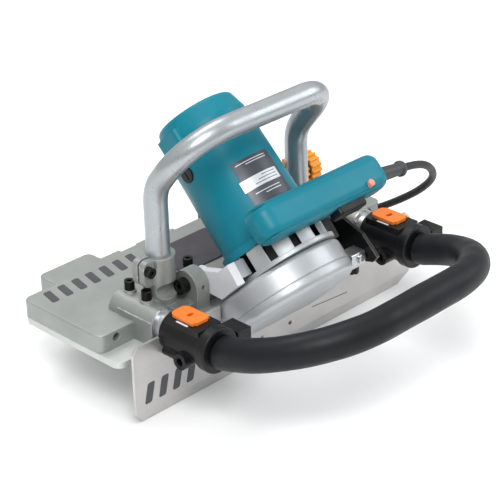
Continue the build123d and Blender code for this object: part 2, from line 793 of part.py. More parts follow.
motor_bearings = gather([
    ball_bearing(38.4, GEAR_GAP, SHAFT_R + FIT, 11, 6),
    ball_bearing(170, GEAR_GAP, SHAFT_R + FIT, 11, 6),
])
save(motor_bearings, "motor_bearings")

spindle_bearing = gather([ball_bearing(21, 0, 6 + FIT, 11, 7)])
save(spindle_bearing, "spindle_bearing")

with BuildPart() as brush_holders:
    for side in (-1, 1):
        with BuildSketch(saw_side(SAW_X + side * 17, GEAR_GAP, BRUSH_H)):
            Rectangle(13, 13)
            Rectangle(8.2, 8.2, mode=Mode.SUBTRACT)
        extrude(amount=side * 21)
save(brush_holders, "brush_holders")

with BuildPart() as carbon_brushes:
    for side in (-1, 1):
        with BuildSketch(saw_side(SAW_X + side * 14.3, GEAR_GAP, BRUSH_H)):
            Rectangle(8, 8)
        extrude(amount=side * 16)
save(carbon_brushes, "carbon_brushes")

with BuildPart() as brush_caps:
    for side in (-1, 1):
        with BuildSketch(saw_side(SAW_X + side * 38.2, GEAR_GAP, BRUSH_H)):
            Circle(8 - FIT)
        extrude(amount=side * 9.5)
        with BuildSketch(saw_side(SAW_X + side * 47.7, GEAR_GAP, BRUSH_H)):
            Rectangle(11, 1.6)
        extrude(amount=-side * 1.4, mode=Mode.SUBTRACT)
save(brush_caps, "brush_caps")


# ---- reduction gears, spindle and blade ----
def gear_points(teeth, tooth_at):
    """Outline of a stub-tooth involute gear with one tooth centred on the angle tooth_at."""
    pitch_r = MODULE * teeth / 2
    base_r = pitch_r * cos(radians(20))
    tip_r = pitch_r + 0.8 * MODULE
    root_r = pitch_r - 1.1 * MODULE

    def roll(radius):
        ratio = acos(min(1.0, base_r / max(radius, base_r)))
        return tan(ratio) - ratio

    half = (pi * MODULE / 2 - 0.16) / (2 * pitch_r) + roll(pitch_r)
    radii = [root_r] + [max(root_r, base_r) + (tip_r - max(root_r, base_r)) * i / 5 for i in range(6)]
    points = []
    for tooth in range(teeth):
        middle = radians(tooth_at) + 2 * pi * tooth / teeth
        for radius in radii:
            angle = middle - half + roll(radius)
            points.append((radius * cos(angle), radius * sin(angle)))
        for radius in reversed(radii):
            angle = middle + half - roll(radius)
            points.append((radius * cos(angle), radius * sin(angle)))
    return points


with BuildPart() as pinion_gear:
    with BuildSketch(saw_plane(28.8, b=GEAR_GAP)):
        with BuildLine():
            Polyline(*gear_points(PINION_TEETH, 90), close=True)
        make_face()
    extrude(amount=9.4)
save(pinion_gear, "pinion_gear")

with BuildPart() as drive_gear:
    with BuildSketch(saw_plane(29)):
        with BuildLine():
            Polyline(*gear_points(GEAR_TEETH, -90 + 180 / GEAR_TEETH), close=True)
        make_face()
        Circle(6, mode=Mode.SUBTRACT)
    extrude(amount=8.4)
save(drive_gear, "drive_gear")

with BuildPart() as spindle:
    with BuildSketch(saw_plane(BLADE_T / 2)):
        Circle(16)
    extrude(amount=4)
    with BuildSketch(saw_plane(BLADE_T / 2 + 4)):
        Circle(6)
    extrude(amount=44 - BLADE_T / 2 - 4)
    with BuildSketch(saw_plane(-BLADE_T / 2)):
        Circle(10)
    extrude(amount=BLADE_T)
    with BuildSketch(saw_plane(-BLADE_T / 2)):
        Circle(4)
    extrude(amount=18, mode=Mode.SUBTRACT)
save(spindle, "spindle")

with BuildPart() as diamond_blade:
    with BuildSketch(saw_plane(-BLADE_T / 2)):
        Circle(BLADE_R)
        Circle(10, mode=Mode.SUBTRACT)
        with PolarLocations(40, 8):
            Circle(3, mode=Mode.SUBTRACT)
    extrude(amount=BLADE_T)
    with BuildSketch(saw_plane(-BLADE_T / 2 - 0.25)):
        Circle(BLADE_R)
        Circle(BLADE_R - 7, mode=Mode.SUBTRACT)
    extrude(amount=BLADE_T + 0.5)
save(diamond_blade, "diamond_blade")

with BuildPart() as outer_flange:
    with BuildSketch(saw_plane(-BLADE_T / 2 - 4)):
        Circle(16)
        Circle(4 + FIT, mode=Mode.SUBTRACT)
    extrude(amount=4)
save(outer_flange, "outer_flange")

with BuildPart() as blade_bolt:
    with BuildSketch(saw_plane(-BLADE_T / 2 - 9)):
        RegularPolygon(7.5, 6)
    extrude(amount=5)
    with BuildSketch(saw_plane(-BLADE_T / 2 - 4)):
        Circle(4)
    extrude(amount=20)
save(blade_bolt, "blade_bolt")

# ---- teal side handle with trigger ----
GRIP_IN = 66.0
GRIP_OUT = 102.0
SPLIT_B = 84.0
TRIGGER_X = (22.0, 60.0)
BUTTON_X = 66.0
BUTTON_H = 43.0
RELIEF_R = 7.4
relief_start = saw_point(GRIP_END - 6, GRIP_B, CORD_H)
exit_way = Vector(1, 0, -0.12).normalized()
relief_end = relief_start + exit_way * 41


def grip_shell(front):
    """One half of the handle: front of the split or behind it, hollow, open for the controls."""
    length = GRIP_END - GRIP_START
    with BuildPart() as piece:
        grip = saw_plane(GRIP_H - GRIP_DEEP / 2, b=(GRIP_IN + GRIP_OUT) / 2, x=GRIP_START + length / 2)
        with BuildSketch(grip):
            RectangleRounded(length, GRIP_OUT - GRIP_IN, 15)
        extrude(amount=GRIP_DEEP)
        fillet(piece.edges().filter_by(lambda e: abs(e.tangent_at(0.5).dot(SPIN)) < 0.1), 11)
        with BuildSketch(grip.offset(3.2)):
            RectangleRounded(length - 6.4, GRIP_OUT - GRIP_IN - 6.4, 11)
        extrude(amount=GRIP_DEEP - 6.4, mode=Mode.SUBTRACT)
        with BuildSketch(saw_plane(0, b=GEAR_GAP)):
            Circle(CASE_R + 2 + FIT)
        extrude(amount=200, mode=Mode.SUBTRACT)
        middle_x = (TRIGGER_X[0] + TRIGGER_X[1]) / 2
        with BuildSketch(saw_plane(20, b=SPLIT_B, x=middle_x)):
            Rectangle(TRIGGER_X[1] - TRIGGER_X[0] + 2 * GAP, 18 + 2 * GAP)
        extrude(amount=22, mode=Mode.SUBTRACT)
        button = Plane(origin=saw_point(BUTTON_X, GRIP_OUT - 12, BUTTON_H), x_dir=(1, 0, 0), z_dir=RISE)
        with BuildSketch(button):
            Circle(3.5 + FIT)
        extrude(amount=20, mode=Mode.SUBTRACT)
        with BuildSketch(Plane(origin=relief_start - exit_way * 4, z_dir=exit_way)):
            Circle(RELIEF_R + FIT)
        extrude(amount=20, mode=Mode.SUBTRACT)
        half_centre = SPLIT_B - 30 if front else SPLIT_B + 30
        with BuildSketch(saw_plane(-20, b=half_centre, x=0)):
            Rectangle(400, 60)
        extrude(amount=200, mode=Mode.SUBTRACT)
    return piece


handle_front = grip_shell(True)
save(handle_front, "handle_front")
handle_rear = grip_shell(False)
save(handle_rear, "handle_rear")

with BuildPart() as trigger:
    middle_x = (TRIGGER_X[0] + TRIGGER_X[1]) / 2
    with BuildSketch(saw_plane(28.5, b=SPLIT_B, x=middle_x)):
        RectangleRounded(TRIGGER_X[1] - TRIGGER_X[0], 18, 4)
    extrude(amount=13.5)
    fillet(trigger.faces().sort_by(Axis(BLADE, SPIN))[0].edges(), 3)
save(trigger, "trigger")

with BuildPart() as lock_button:
    with BuildSketch(Plane(origin=saw_point(BUTTON_X, GRIP_OUT - 9, BUTTON_H), x_dir=(1, 0, 0), z_dir=RISE)):
        Circle(3.5)
    extrude(amount=12)
    fillet(lock_button.faces().sort_by(Axis(BLADE, RISE))[-1].edges(), 0.8)
save(lock_button, "lock_button")

with BuildPart() as switch_body:
    with BuildSketch(saw_plane(48, b=SPLIT_B, x=40)):
        Rectangle(44, 22)
    extrude(amount=18)
save(switch_body, "switch_body")


def cradle(arm):
    """An arm plate from the pivot to the gear case lug on one side of the saw."""
    with BuildPart() as piece:
        with BuildSketch(saw_side(arm[0])):
            with BuildLine():
                Polyline((21, 2), (21, 34), (43, 36), (43, 20), (62, -14), (46, -20), (22, 2), close=True)
            make_face()
        extrude(amount=arm[1] - arm[0])
        with BuildSketch(side_plane(arm[0], PIVOT_Y, PIVOT_Z)):
            Circle(10)
        extrude(amount=arm[1] - arm[0])
        with BuildSketch(side_plane(arm[0], PIVOT_Y, PIVOT_Z)):
            Circle(PIN_R + FIT)
        extrude(amount=arm[1] - arm[0], mode=Mode.SUBTRACT)
    return piece


save(cradle(ARM_LEFT), "left_cradle")
save(cradle(ARM_RIGHT), "right_cradle")

# ---- screws that hold the housing flange to the gear case ----
with BuildPart() as housing_screws:
    for x, b in flange_screw_spots():
        with BuildSketch(saw_plane(CASE_TOP - 12, b=b, x=x)):
            Circle(2)
        extrude(amount=12)
save(housing_screws, "housing_screws")

# ---- water feed: valve on the motor's right side, hose coupling, lever ----
VALVE_Y = 70.0
VALVE_Z = 82.0
VALVE_FROM = 52.0
VALVE_TO = 92.0
LEVER_X = 70.0
with BuildPart() as water_valve:
    with BuildSketch(side_plane(VALVE_FROM, VALVE_Y, VALVE_Z)):
        Circle(8)
    extrude(amount=VALVE_TO - VALVE_FROM)
    with BuildSketch(Plane((LEVER_X, VALVE_Y, VALVE_Z))):
        Circle(6)
    extrude(amount=13)
    with BuildSketch(Plane((LEVER_X, VALVE_Y, VALVE_Z + 6))):
        Circle(2 + FIT)
    extrude(amount=8, mode=Mode.SUBTRACT)
    with BuildSketch(side_plane(SAW_X + 42, VALVE_Y, VALVE_Z)):
        Circle(6)
    extrude(amount=VALVE_FROM - SAW_X - 42)
    with BuildSketch(saw_plane(0, b=GEAR_GAP)):
        Circle(HOUSING_R + 0.2)
    extrude(amount=200, mode=Mode.SUBTRACT)
save(water_valve, "water_valve")

with BuildPart() as hose_coupling:
    with BuildSketch(side_plane(VALVE_TO, VALVE_Y, VALVE_Z)):
        Circle(15)
        with PolarLocations(15.4, 16):
            Circle(1.5)
    extrude(amount=11)
    with BuildSketch(side_plane(VALVE_TO + 11, VALVE_Y, VALVE_Z)):
        Circle(12)
    extrude(amount=5)
    with BuildSketch(side_plane(VALVE_TO + 16, VALVE_Y, VALVE_Z)):
        Circle(15)
        with PolarLocations(15.4, 16):
            Circle(1.5)
    extrude(amount=13)
    with BuildSketch(side_plane(VALVE_TO + 29, VALVE_Y, VALVE_Z)):
        Circle(6.5)
    extrude(amount=-22, mode=Mode.SUBTRACT)
save(hose_coupling, "hose_coupling")

with BuildPart() as tap_lever:
    with BuildSketch(Plane((LEVER_X, VALVE_Y, VALVE_Z + 7))):
        Circle(2)
    extrude(amount=10)
    with BuildSketch(Plane((LEVER_X, VALVE_Y, VALVE_Z + 13.3))):
        Circle(6)
        with Locations((-11, 0)):
            RectangleRounded(30, 9, 4)
    extrude(amount=5)
    chamfer(tap_lever.faces().sort_by(Axis.Z)[-1].edges(), 1)
save(tap_lever, "tap_lever")

# ---- supply cord: strain relief, lead, coil and plug ----
CORD_D = 8.0
FLOOR = FENCE_FOOT
with BuildPart() as strain_relief:
    base = Plane(origin=relief_start, z_dir=exit_way)
    with BuildSketch(base):
        Circle(RELIEF_R)
    with BuildSketch(base.offset(36)):
        Circle(6.2)
    loft()
    with BuildSketch(base.offset(34)):
        Circle(8.2)
    extrude(amount=7)
    fillet(strain_relief.faces().sort_by(Axis.X)[-1].edges(), 1.5)
save(strain_relief, "strain_relief")

COIL_X = 168.0
COIL_Y = 212.0
COIL_MEAN_R = 44.0
COIL_TURNS = 8
coil_out = COIL_MEAN_R + 1.5 * CORD_D
coil_in = COIL_MEAN_R - 1.5 * CORD_D
coil_height = 3 * CORD_D
cord_points = [
    relief_end,
    relief_end + exit_way * 25,
    Vector(181, -40, 92),
    Vector(200, -28, 70),
    Vector(208, -4, 46),
    Vector(208, 26, 24),
    Vector(209, 58, 4),
    Vector(213, 92, -17),
    Vector(219, 126, -35),
    Vector(222, 160, -46),
    Vector(COIL_X + COIL_MEAN_R, COIL_Y - 22, FLOOR + CORD_D / 2 + 3),
]
with BuildPart() as cord_coil:
    with BuildSketch(Plane((COIL_X, COIL_Y, FLOOR))):
        Circle(coil_out)
        Circle(coil_in, mode=Mode.SUBTRACT)
    extrude(amount=coil_height)
    fillet(cord_coil.edges(), 3)
save(cord_coil, "cord_coil")


def turn_radii(points, share=0.45):
    """Radius of the tangent arc at each inner point of a cord route."""
    radii = []
    for before, here, after in zip(points, points[1:], points[2:]):
        run_in = here - before
        run_out = after - here
        half_turn = radians(run_in.get_angle(run_out)) / 2
        radii.append(share * min(run_in.length, run_out.length) / tan(half_turn))
    return radii


cord_radii = turn_radii(cord_points)
with BuildPart() as cord:
    with BuildLine() as cord_line:
        FilletPolyline(*cord_points, radius=cord_radii)
    with BuildSketch(Plane(origin=cord_points[0], z_dir=cord_points[1] - cord_points[0])):
        Circle(CORD_D / 2)
    sweep()
    with BuildSketch(Plane((COIL_X, COIL_Y, FLOOR - 1))):
        Circle(coil_out)
    extrude(amount=coil_height + 2, mode=Mode.SUBTRACT)
save(cord, "cord")
lead_length = sum(edge.length for edge in cord_line.edges())
print("cord radii", [round(radius) for radius in cord_radii])
print("lead", round(lead_length), "tube volume ratio", cord.part.volume / (lead_length * pi * CORD_D**2 / 4))
print("coil", round(COIL_TURNS * 2 * pi * COIL_MEAN_R))

# The plug lies on the coil's top turn, its tail facing the cord that runs round into it.
PLUG_TAIL_X = COIL_X - 16
PLUG_Y = COIL_Y - COIL_MEAN_R
PLUG_Z = FLOOR + coil_height + 9
PLUG_TAIL = 22.0
PLUG_BODY = 26.0


def plug_plane(along):
    """A plane facing +X at the given distance in front of the plug's tail."""
    return side_plane(PLUG_TAIL_X + along, PLUG_Y, PLUG_Z)


with BuildPart() as plug:
    with BuildSketch(plug_plane(0)):
        Circle(5)
    with BuildSketch(plug_plane(PLUG_TAIL)):
        Circle(7)
    loft()
    with BuildSketch(plug_plane(PLUG_TAIL)):
        RectangleRounded(22, 17.8, 7)
    extrude(amount=PLUG_BODY)
    with BuildSketch(plug_plane(PLUG_TAIL + PLUG_BODY)):
        with Locations((-6.35, 0), (6.35, 0)):
            Rectangle(1.5, 6.3)
    extrude(amount=17)
save(plug, "plug")
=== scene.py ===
import json
import math

import bmesh
import bpy
from mathutils import Matrix, Vector


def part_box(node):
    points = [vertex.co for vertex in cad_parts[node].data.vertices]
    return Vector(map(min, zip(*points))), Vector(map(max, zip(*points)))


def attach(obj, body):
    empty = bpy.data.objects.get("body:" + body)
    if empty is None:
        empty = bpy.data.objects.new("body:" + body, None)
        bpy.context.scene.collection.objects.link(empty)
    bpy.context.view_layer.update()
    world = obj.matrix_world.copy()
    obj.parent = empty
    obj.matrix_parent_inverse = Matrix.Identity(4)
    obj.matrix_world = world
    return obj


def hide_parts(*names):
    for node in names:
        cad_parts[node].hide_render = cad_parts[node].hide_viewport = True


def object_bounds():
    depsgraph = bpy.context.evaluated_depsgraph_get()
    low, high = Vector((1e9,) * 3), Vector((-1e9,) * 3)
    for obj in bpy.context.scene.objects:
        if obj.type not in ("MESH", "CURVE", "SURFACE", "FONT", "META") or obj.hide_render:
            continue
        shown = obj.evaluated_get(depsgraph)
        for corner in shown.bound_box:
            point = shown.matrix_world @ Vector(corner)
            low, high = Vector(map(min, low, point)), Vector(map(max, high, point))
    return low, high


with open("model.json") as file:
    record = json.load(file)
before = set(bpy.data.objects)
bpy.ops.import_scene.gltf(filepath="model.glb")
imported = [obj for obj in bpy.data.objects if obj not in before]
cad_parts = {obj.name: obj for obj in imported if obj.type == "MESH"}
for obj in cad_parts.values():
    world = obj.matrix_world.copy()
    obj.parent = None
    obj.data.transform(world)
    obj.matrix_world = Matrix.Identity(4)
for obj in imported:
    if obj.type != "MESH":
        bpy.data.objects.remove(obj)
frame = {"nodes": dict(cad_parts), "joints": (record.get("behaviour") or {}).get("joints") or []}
cad_low, cad_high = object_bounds()

# ---- places and directions taken from the frame, in metres ----
MM = 0.001
NODES = frame["nodes"]
JOINTS = {joint["name"]: joint for joint in frame["joints"]}
SPIN = Vector(JOINTS["motor_spin"]["axis"]).normalized()
RISE = Vector((1, 0, 0)).cross(SPIN)
ACROSS = Vector((1, 0, 0))
# The two spinning joints are marked at these heights over the blade, in millimetres.
SPINDLE_MARK = 20
MOTOR_MARK = 100
BLADE_CENTRE = Vector(JOINTS["spindle_spin"]["pos_m"]) - SPIN * SPINDLE_MARK * MM
MOTOR_LINE = Vector(JOINTS["motor_spin"]["pos_m"]) - SPIN * MOTOR_MARK * MM


def saw_point(x, b, h):
    """A point x along the fence, b along RISE and h along SPIN from the blade's centre, in millimetres."""
    return Vector((x * MM, BLADE_CENTRE.y, BLADE_CENTRE.z)) + RISE * b * MM + SPIN * h * MM


def low_end(node):
    """The middle of the face of a node's box that looks along -X."""
    low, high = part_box(node)
    return Vector((low.x, (low.y + high.y) / 2, (low.z + high.z) / 2))


# ================= camera, light and floor =================
VIEW_AZIMUTH, VIEW_ELEVATION, VIEW_ROLL = -44.582, 27.232, -1.555
VIEW_DISTANCE = 1764.433 * MM
VIEW_TARGET = Vector((-1.377, 37.0, 41.904)) * MM
SENSOR_WIDTH = 36
FOCAL_RATIO = 3.608016


def add_camera():
    """The photograph's view: from the front left, a little above, and rolled slightly."""
    azimuth, elevation, roll = (math.radians(angle) for angle in (VIEW_AZIMUTH, VIEW_ELEVATION, VIEW_ROLL))
    back = Vector((
        math.sin(azimuth) * math.cos(elevation),
        -math.cos(azimuth) * math.cos(elevation),
        math.sin(elevation),
    ))
    right = Vector((math.cos(azimuth), math.sin(azimuth), 0))
    up = back.cross(right)
    rolled_right = right * math.cos(roll) + up * math.sin(roll)
    rolled_up = up * math.cos(roll) - right * math.sin(roll)
    data = bpy.data.cameras.new("camera")
    data.sensor_width = SENSOR_WIDTH
    data.lens = SENSOR_WIDTH * FOCAL_RATIO
    data.clip_start, data.clip_end = 0.05, 50
    camera = bpy.data.objects.new("camera", data)
    bpy.context.scene.collection.objects.link(camera)
    turn = Matrix((rolled_right, rolled_up, back)).transposed().to_4x4()
    camera.matrix_world = Matrix.Translation(VIEW_TARGET + back * VIEW_DISTANCE) @ turn
    bpy.context.scene.camera = camera


def add_light(name, place, aim, size, power, colour=(1, 1, 1)):
    data = bpy.data.lights.new(name, "AREA")
    data.shape = "RECTANGLE"
    data.size, data.size_y = size
    data.energy = power
    data.color = colour
    light = bpy.data.objects.new(name, data)
    bpy.context.scene.collection.objects.link(light)
    light.location = place
    light.rotation_euler = (Vector(aim) - Vector(place)).to_track_quat("-Z", "Y").to_euler()


def add_world():
    """A pale studio surround, brighter overhead than at the sides."""
    world = bpy.data.worlds.new("studio")
    bpy.context.scene.world = world
    world.use_nodes = True
    nodes, links = world.node_tree.nodes, world.node_tree.links
    background = nodes["Background"]
    coords = nodes.new("ShaderNodeTexCoord")
    split = nodes.new("ShaderNodeSeparateXYZ")
    ramp = nodes.new("ShaderNodeValToRGB")
    ramp.color_ramp.elements[0].position = 0.0
    ramp.color_ramp.elements[0].color = (0.42, 0.43, 0.44, 1)
    ramp.color_ramp.elements[1].position = 0.75
    ramp.color_ramp.elements[1].color = (1.0, 1.0, 1.0, 1)
    links.new(coords.outputs["Generated"], split.inputs[0])
    links.new(split.outputs["Z"], ramp.inputs["Fac"])
    links.new(ramp.outputs["Color"], background.inputs["Color"])
    background.inputs["Strength"].default_value = 0.85


def add_floor():
    """A wide pale sheet just under the lowest point of the object."""
    half = 6.0
    drop = cad_low.z - 0.6 * MM
    mesh = bpy.data.meshes.new("floor")
    mesh.from_pydata([(-half, -half, drop), (half, -half, drop), (half, half, drop), (-half, half, drop)],
                     [], [(0, 1, 2, 3)])
    floor = bpy.data.objects.new("floor", mesh)
    bpy.context.scene.collection.objects.link(floor)
    material = bpy.data.materials.new("floor_paper")
    material.use_nodes = True
    shader = material.node_tree.nodes["Principled BSDF"]
    shader.inputs["Base Color"].default_value = (0.93, 0.93, 0.93, 1)
    shader.inputs["Roughness"].default_value = 0.9
    shader.inputs["Specular IOR Level"].default_value = 0.1
    mesh.materials.append(material)


add_camera()
add_world()
add_floor()
add_light("key", (-0.9, -0.9, 1.5), (0, 0, 0.05), (0.9, 0.9), 22)
add_light("fill", (1.3, -0.9, 0.9), (0, 0, 0.05), (1.0, 1.0), 9, (0.96, 0.98, 1.0))
add_light("top", (0.1, 0.7, 1.6), (0, 0.05, 0.05), (1.2, 0.7), 11)
bpy.context.scene.view_settings.view_transform = "Standard"


# ================= materials =================
def srgb(red, green, blue):
    """A linear colour from 0 to 255 screen values."""
    linear = []
    for value in (red / 255, green / 255, blue / 255):
        linear.append(value / 12.92 if value <= 0.04045 else ((value + 0.055) / 1.055) ** 2.4)
    return (*linear, 1.0)


def shade(colour, factor):
    """The same colour made lighter or darker."""
    return (*(min(1.0, value * factor) for value in colour[:3]), 1.0)


class Surface:
    """A node material that is put together from a few kinds of texture."""

    def __init__(self, name, metallic=0.0):
        self.material = bpy.data.materials.new(name)
        self.material.use_nodes = True
        tree = self.material.node_tree
        self.nodes, self.links = tree.nodes, tree.links
        self.shader = self.nodes["Principled BSDF"]
        self.shader.inputs["Metallic"].default_value = metallic
        self.place = self.nodes.new("ShaderNodeTexCoord").outputs["Object"]

    def node(self, kind, **settings):
        made = self.nodes.new(kind)
        for key, value in settings.items():
            setattr(made, key, value)
        return made

    def feed(self, socket, value):
        if isinstance(value, bpy.types.NodeSocket):
            self.links.new(value, socket)
        else:
            socket.default_value = value

    def math(self, operation, a, b=0.0):
        made = self.node("ShaderNodeMath", operation=operation)
        self.feed(made.inputs[0], a)
        self.feed(made.inputs[1], b)
        return made.outputs[0]

    def noise(self, scale, detail=3.0, stretch=(1, 1, 1)):
        mapping = self.node("ShaderNodeMapping")
        mapping.inputs["Scale"].default_value = [scale * share for share in stretch]
        self.links.new(self.place, mapping.inputs["Vector"])
        made = self.node("ShaderNodeTexNoise")
        made.inputs["Scale"].default_value = 1.0
        made.inputs["Detail"].default_value = detail
        self.links.new(mapping.outputs[0], made.inputs["Vector"])
        return made.outputs[0]

    def ramp(self, value, low, high, to_low=0.0, to_high=1.0):
        made = self.node("ShaderNodeMapRange")
        made.inputs["From Min"].default_value = low
        made.inputs["From Max"].default_value = high
        made.inputs["To Min"].default_value = to_low
        made.inputs["To Max"].default_value = to_high
        self.feed(made.inputs["Value"], value)
        return made.outputs[0]

    def mix(self, share, first, second):
        made = self.node("ShaderNodeMix", data_type="RGBA")
        self.feed(made.inputs["Factor"], share)
        self.feed(made.inputs[6], first)
        self.feed(made.inputs[7], second)
        return made.outputs[2]

    def along(self, direction):
        """Distance of the shaded point along a direction, in metres."""
        made = self.node("ShaderNodeVectorMath", operation="DOT_PRODUCT")
        self.links.new(self.place, made.inputs[0])
        made.inputs[1].default_value = direction
        return made.outputs["Value"]

    def away_from(self, point):
        """Distance of the shaded point from a point, in metres."""
        made = self.node("ShaderNodeVectorMath", operation="DISTANCE")
        self.links.new(self.place, made.inputs[0])
        made.inputs[1].default_value = point
        return made.outputs["Value"]

    def stripes(self, value, pitch):
        turned = self.math("MULTIPLY", value, 2 * math.pi / pitch)
        return self.ramp(self.math("SINE", turned), -1, 1)

    def rounded(self, radius):
        made = self.node("ShaderNodeBevel", samples=6)
        made.inputs["Radius"].default_value = radius
        return made.outputs[0]

    def edges(self, rounded):
        """1 on sharp edges, 0 on flat ground."""
        normal = self.node("ShaderNodeNewGeometry").outputs["Normal"]
        made = self.node("ShaderNodeVectorMath", operation="DOT_PRODUCT")
        self.links.new(rounded, made.inputs[0])
        self.links.new(normal, made.inputs[1])
        return self.ramp(made.outputs["Value"], 0.995, 0.90)

    def bump(self, height, depth, normal=None, strength=1.0):
        made = self.node("ShaderNodeBump")
        made.inputs["Strength"].default_value = strength
        made.inputs["Distance"].default_value = depth
        self.links.new(height, made.inputs["Height"])
        if normal is not None:
            self.links.new(normal, made.inputs["Normal"])
        return made.outputs[0]

    def finish(self, colour, roughness, normal):
        self.feed(self.shader.inputs["Base Color"], colour)
        self.feed(self.shader.inputs["Roughness"], roughness)
        self.links.new(normal, self.shader.inputs["Normal"])
        return self.material


def worked(name, colour, metallic=0.0, rough=(0.35, 0.5), blotch=26.0, blotch_shade=0.86, grain=900.0,
           stretch=(1, 1, 1), depth=0.02, worn=None, wear=0.5, edge=0.7, specks=0.0, shine=0.5, slot_shade=False):
    """A finish with slow colour change, fine grain, rounded-looking edges and light wear on them."""
    surface = Surface(name, metallic)
    slow = surface.ramp(surface.noise(blotch, 4), 0.32, 0.68)
    tone = surface.mix(slow, shade(colour, blotch_shade), colour)
    fine = surface.noise(grain, 4, stretch)
    tone = surface.mix(surface.ramp(fine, 0.3, 0.75, 0.0, 0.35), tone, shade(colour, 1.14))
    rounded = surface.rounded(edge * MM)
    if worn is not None:
        patchy = surface.ramp(surface.noise(160, 3), 0.38, 0.62)
        rubbed = surface.math("MULTIPLY", surface.edges(rounded), patchy)
        tone = surface.mix(surface.math("MULTIPLY", rubbed, wear), tone, worn)
    if specks:
        dots = surface.ramp(surface.noise(1900, 1), 0.66, 0.72, 0.0, specks)
        tone = surface.mix(dots, tone, shade(colour, 0.45))
    smear = surface.ramp(surface.noise(blotch * 2.3, 5), 0.3, 0.7)
    gloss = surface.math("ADD", surface.math("MULTIPLY", fine, 0.5), surface.math("MULTIPLY", smear, 0.5))
    roughness = surface.ramp(gloss, 0.25, 0.75, *rough)
    normal = surface.bump(fine, depth * MM, rounded)
    surface.shader.inputs["Specular IOR Level"].default_value = shine
    # Painted shade: on the gear case, the walls of the blind cooling pockets are painted near-black, so they
    # read as dark openings.
    if slot_shade:
        tone = surface.mix(slot_painted_shade_mask(surface), tone, srgb(13, 13, 14))
    return surface.finish(tone, roughness, normal)


# Where the painted shade of the cooling pockets goes: first angle, pitch, half width, inner and outer reach,
# and floor height.
SLOT_FIRST, SLOT_PITCH = math.radians(12), math.radians(30)
SLOT_HALF_WIDE = 4.3 * MM
SLOT_INNER, SLOT_OUTER = 42.9 * MM, 49.9 * MM
SLOT_FLOOR = 24.9 * MM


def slot_painted_shade_mask(surface):
    """1 on the walls of the gear case's cooling slots, which are 7 mm deep blind pockets and get painted
    shade there, so they read as dark openings; 0 elsewhere.
    """
    across = surface.math("SUBTRACT", surface.along(ACROSS), MOTOR_LINE.dot(ACROSS))
    rise = surface.math("SUBTRACT", surface.along(RISE), MOTOR_LINE.dot(RISE))
    height = surface.math("SUBTRACT", surface.along(SPIN), MOTOR_LINE.dot(SPIN))
    reach = surface.math("SQRT", surface.math("ADD", surface.math("MULTIPLY", across, across),
                                              surface.math("MULTIPLY", rise, rise)))
    turn = surface.math("ADD", surface.math("ARCTAN2", rise, across), SLOT_FIRST + SLOT_PITCH / 2)
    turn = surface.math("FLOORED_MODULO", turn, SLOT_PITCH)
    turn = surface.math("SUBTRACT", turn, SLOT_PITCH / 2)
    aside = surface.math("ABSOLUTE", surface.math("MULTIPLY", reach, surface.math("SINE", turn)))
    inside = surface.math("LESS_THAN", aside, SLOT_HALF_WIDE)
    inside = surface.math("MULTIPLY", inside, surface.math("GREATER_THAN", reach, SLOT_INNER))
    inside = surface.math("MULTIPLY", inside, surface.math("LESS_THAN", reach, SLOT_OUTER))
    return surface.math("MULTIPLY", inside, surface.math("GREATER_THAN", height, SLOT_FLOOR))


# Grain drawn out along X, as brushed or rolled metal has it.
LINES_X = (0.012, 1, 1)
PALE = srgb(226, 228, 228)
# Every material, by a short key.
LOOK = {}
LOOK["teal"] = worked("teal_plastic", srgb(0, 116, 134), rough=(0.34, 0.5), blotch=14, blotch_shade=0.9,
                      grain=2600, depth=0.03, worn=srgb(30, 146, 160), wear=0.25, edge=1.0, shine=0.28)
LOOK["cast"] = worked("cast_aluminium", srgb(152, 156, 152), 0.55, (0.34, 0.5), grain=1500, depth=0.06,
                      worn=srgb(232, 234, 232), wear=0.75, edge=0.9, specks=0.12)
LOOK["casting_top"] = worked("base_cast_aluminium", srgb(156, 160, 157), 0.5, (0.36, 0.52), grain=1700,
                             depth=0.05, worn=srgb(226, 230, 228), wear=0.7, edge=1.2, specks=0.15)
LOOK["sole"] = worked("sole_aluminium", srgb(196, 200, 198), 0.35, (0.36, 0.5), blotch_shade=0.93,
                      grain=1300, stretch=LINES_X, depth=0.012, worn=PALE, edge=0.8)
LOOK["guard"] = worked("guard_aluminium", srgb(176, 180, 183), 0.45, (0.3, 0.44), blotch_shade=0.92,
                       grain=2100, depth=0.03, worn=srgb(214, 217, 219), wear=0.6, edge=1.1, specks=0.05)
# The gear case: cast aluminium, with painted shade on the walls of its cooling pockets.
LOOK["slotted"] = worked("slotted_case_aluminium_painted_slot_shade", srgb(174, 178, 181), 0.45, (0.32, 0.46),
                         blotch_shade=0.92, grain=2100, depth=0.04, worn=srgb(212, 215, 217), wear=0.6,
                         edge=1.0, specks=0.06, slot_shade=True)
LOOK["fence"] = worked("fence_steel", srgb(196, 194, 193), 0.8, (0.3, 0.44), blotch_shade=0.9, grain=1500,
                       stretch=LINES_X, depth=0.018, worn=PALE, wear=0.8, edge=0.6)
LOOK["hoop"] = worked("anodised_aluminium", srgb(168, 173, 176), 0.7, (0.26, 0.4), blotch_shade=0.93,
                      grain=1800, stretch=(1, 1, 0.03), depth=0.008, edge=0.5)
LOOK["black"] = worked("black_plastic", srgb(15, 15, 17), rough=(0.32, 0.5), blotch_shade=0.75, grain=2300,
                       depth=0.03, worn=srgb(52, 53, 57), wear=0.5, edge=0.9, shine=0.3)
LOOK["oxide"] = worked("black_oxide_steel", srgb(20, 20, 21), 0.5, (0.3, 0.48), blotch_shade=0.7,
                       grain=1700, depth=0.015, worn=srgb(128, 130, 132), wear=0.75, edge=0.5, shine=0.3)
LOOK["bracket"] = worked("black_painted_steel", srgb(15, 15, 16), 0.2, (0.32, 0.46), blotch_shade=0.8,
                         grain=1400, depth=0.02, worn=srgb(150, 152, 154), wear=0.85, edge=0.6, shine=0.3)
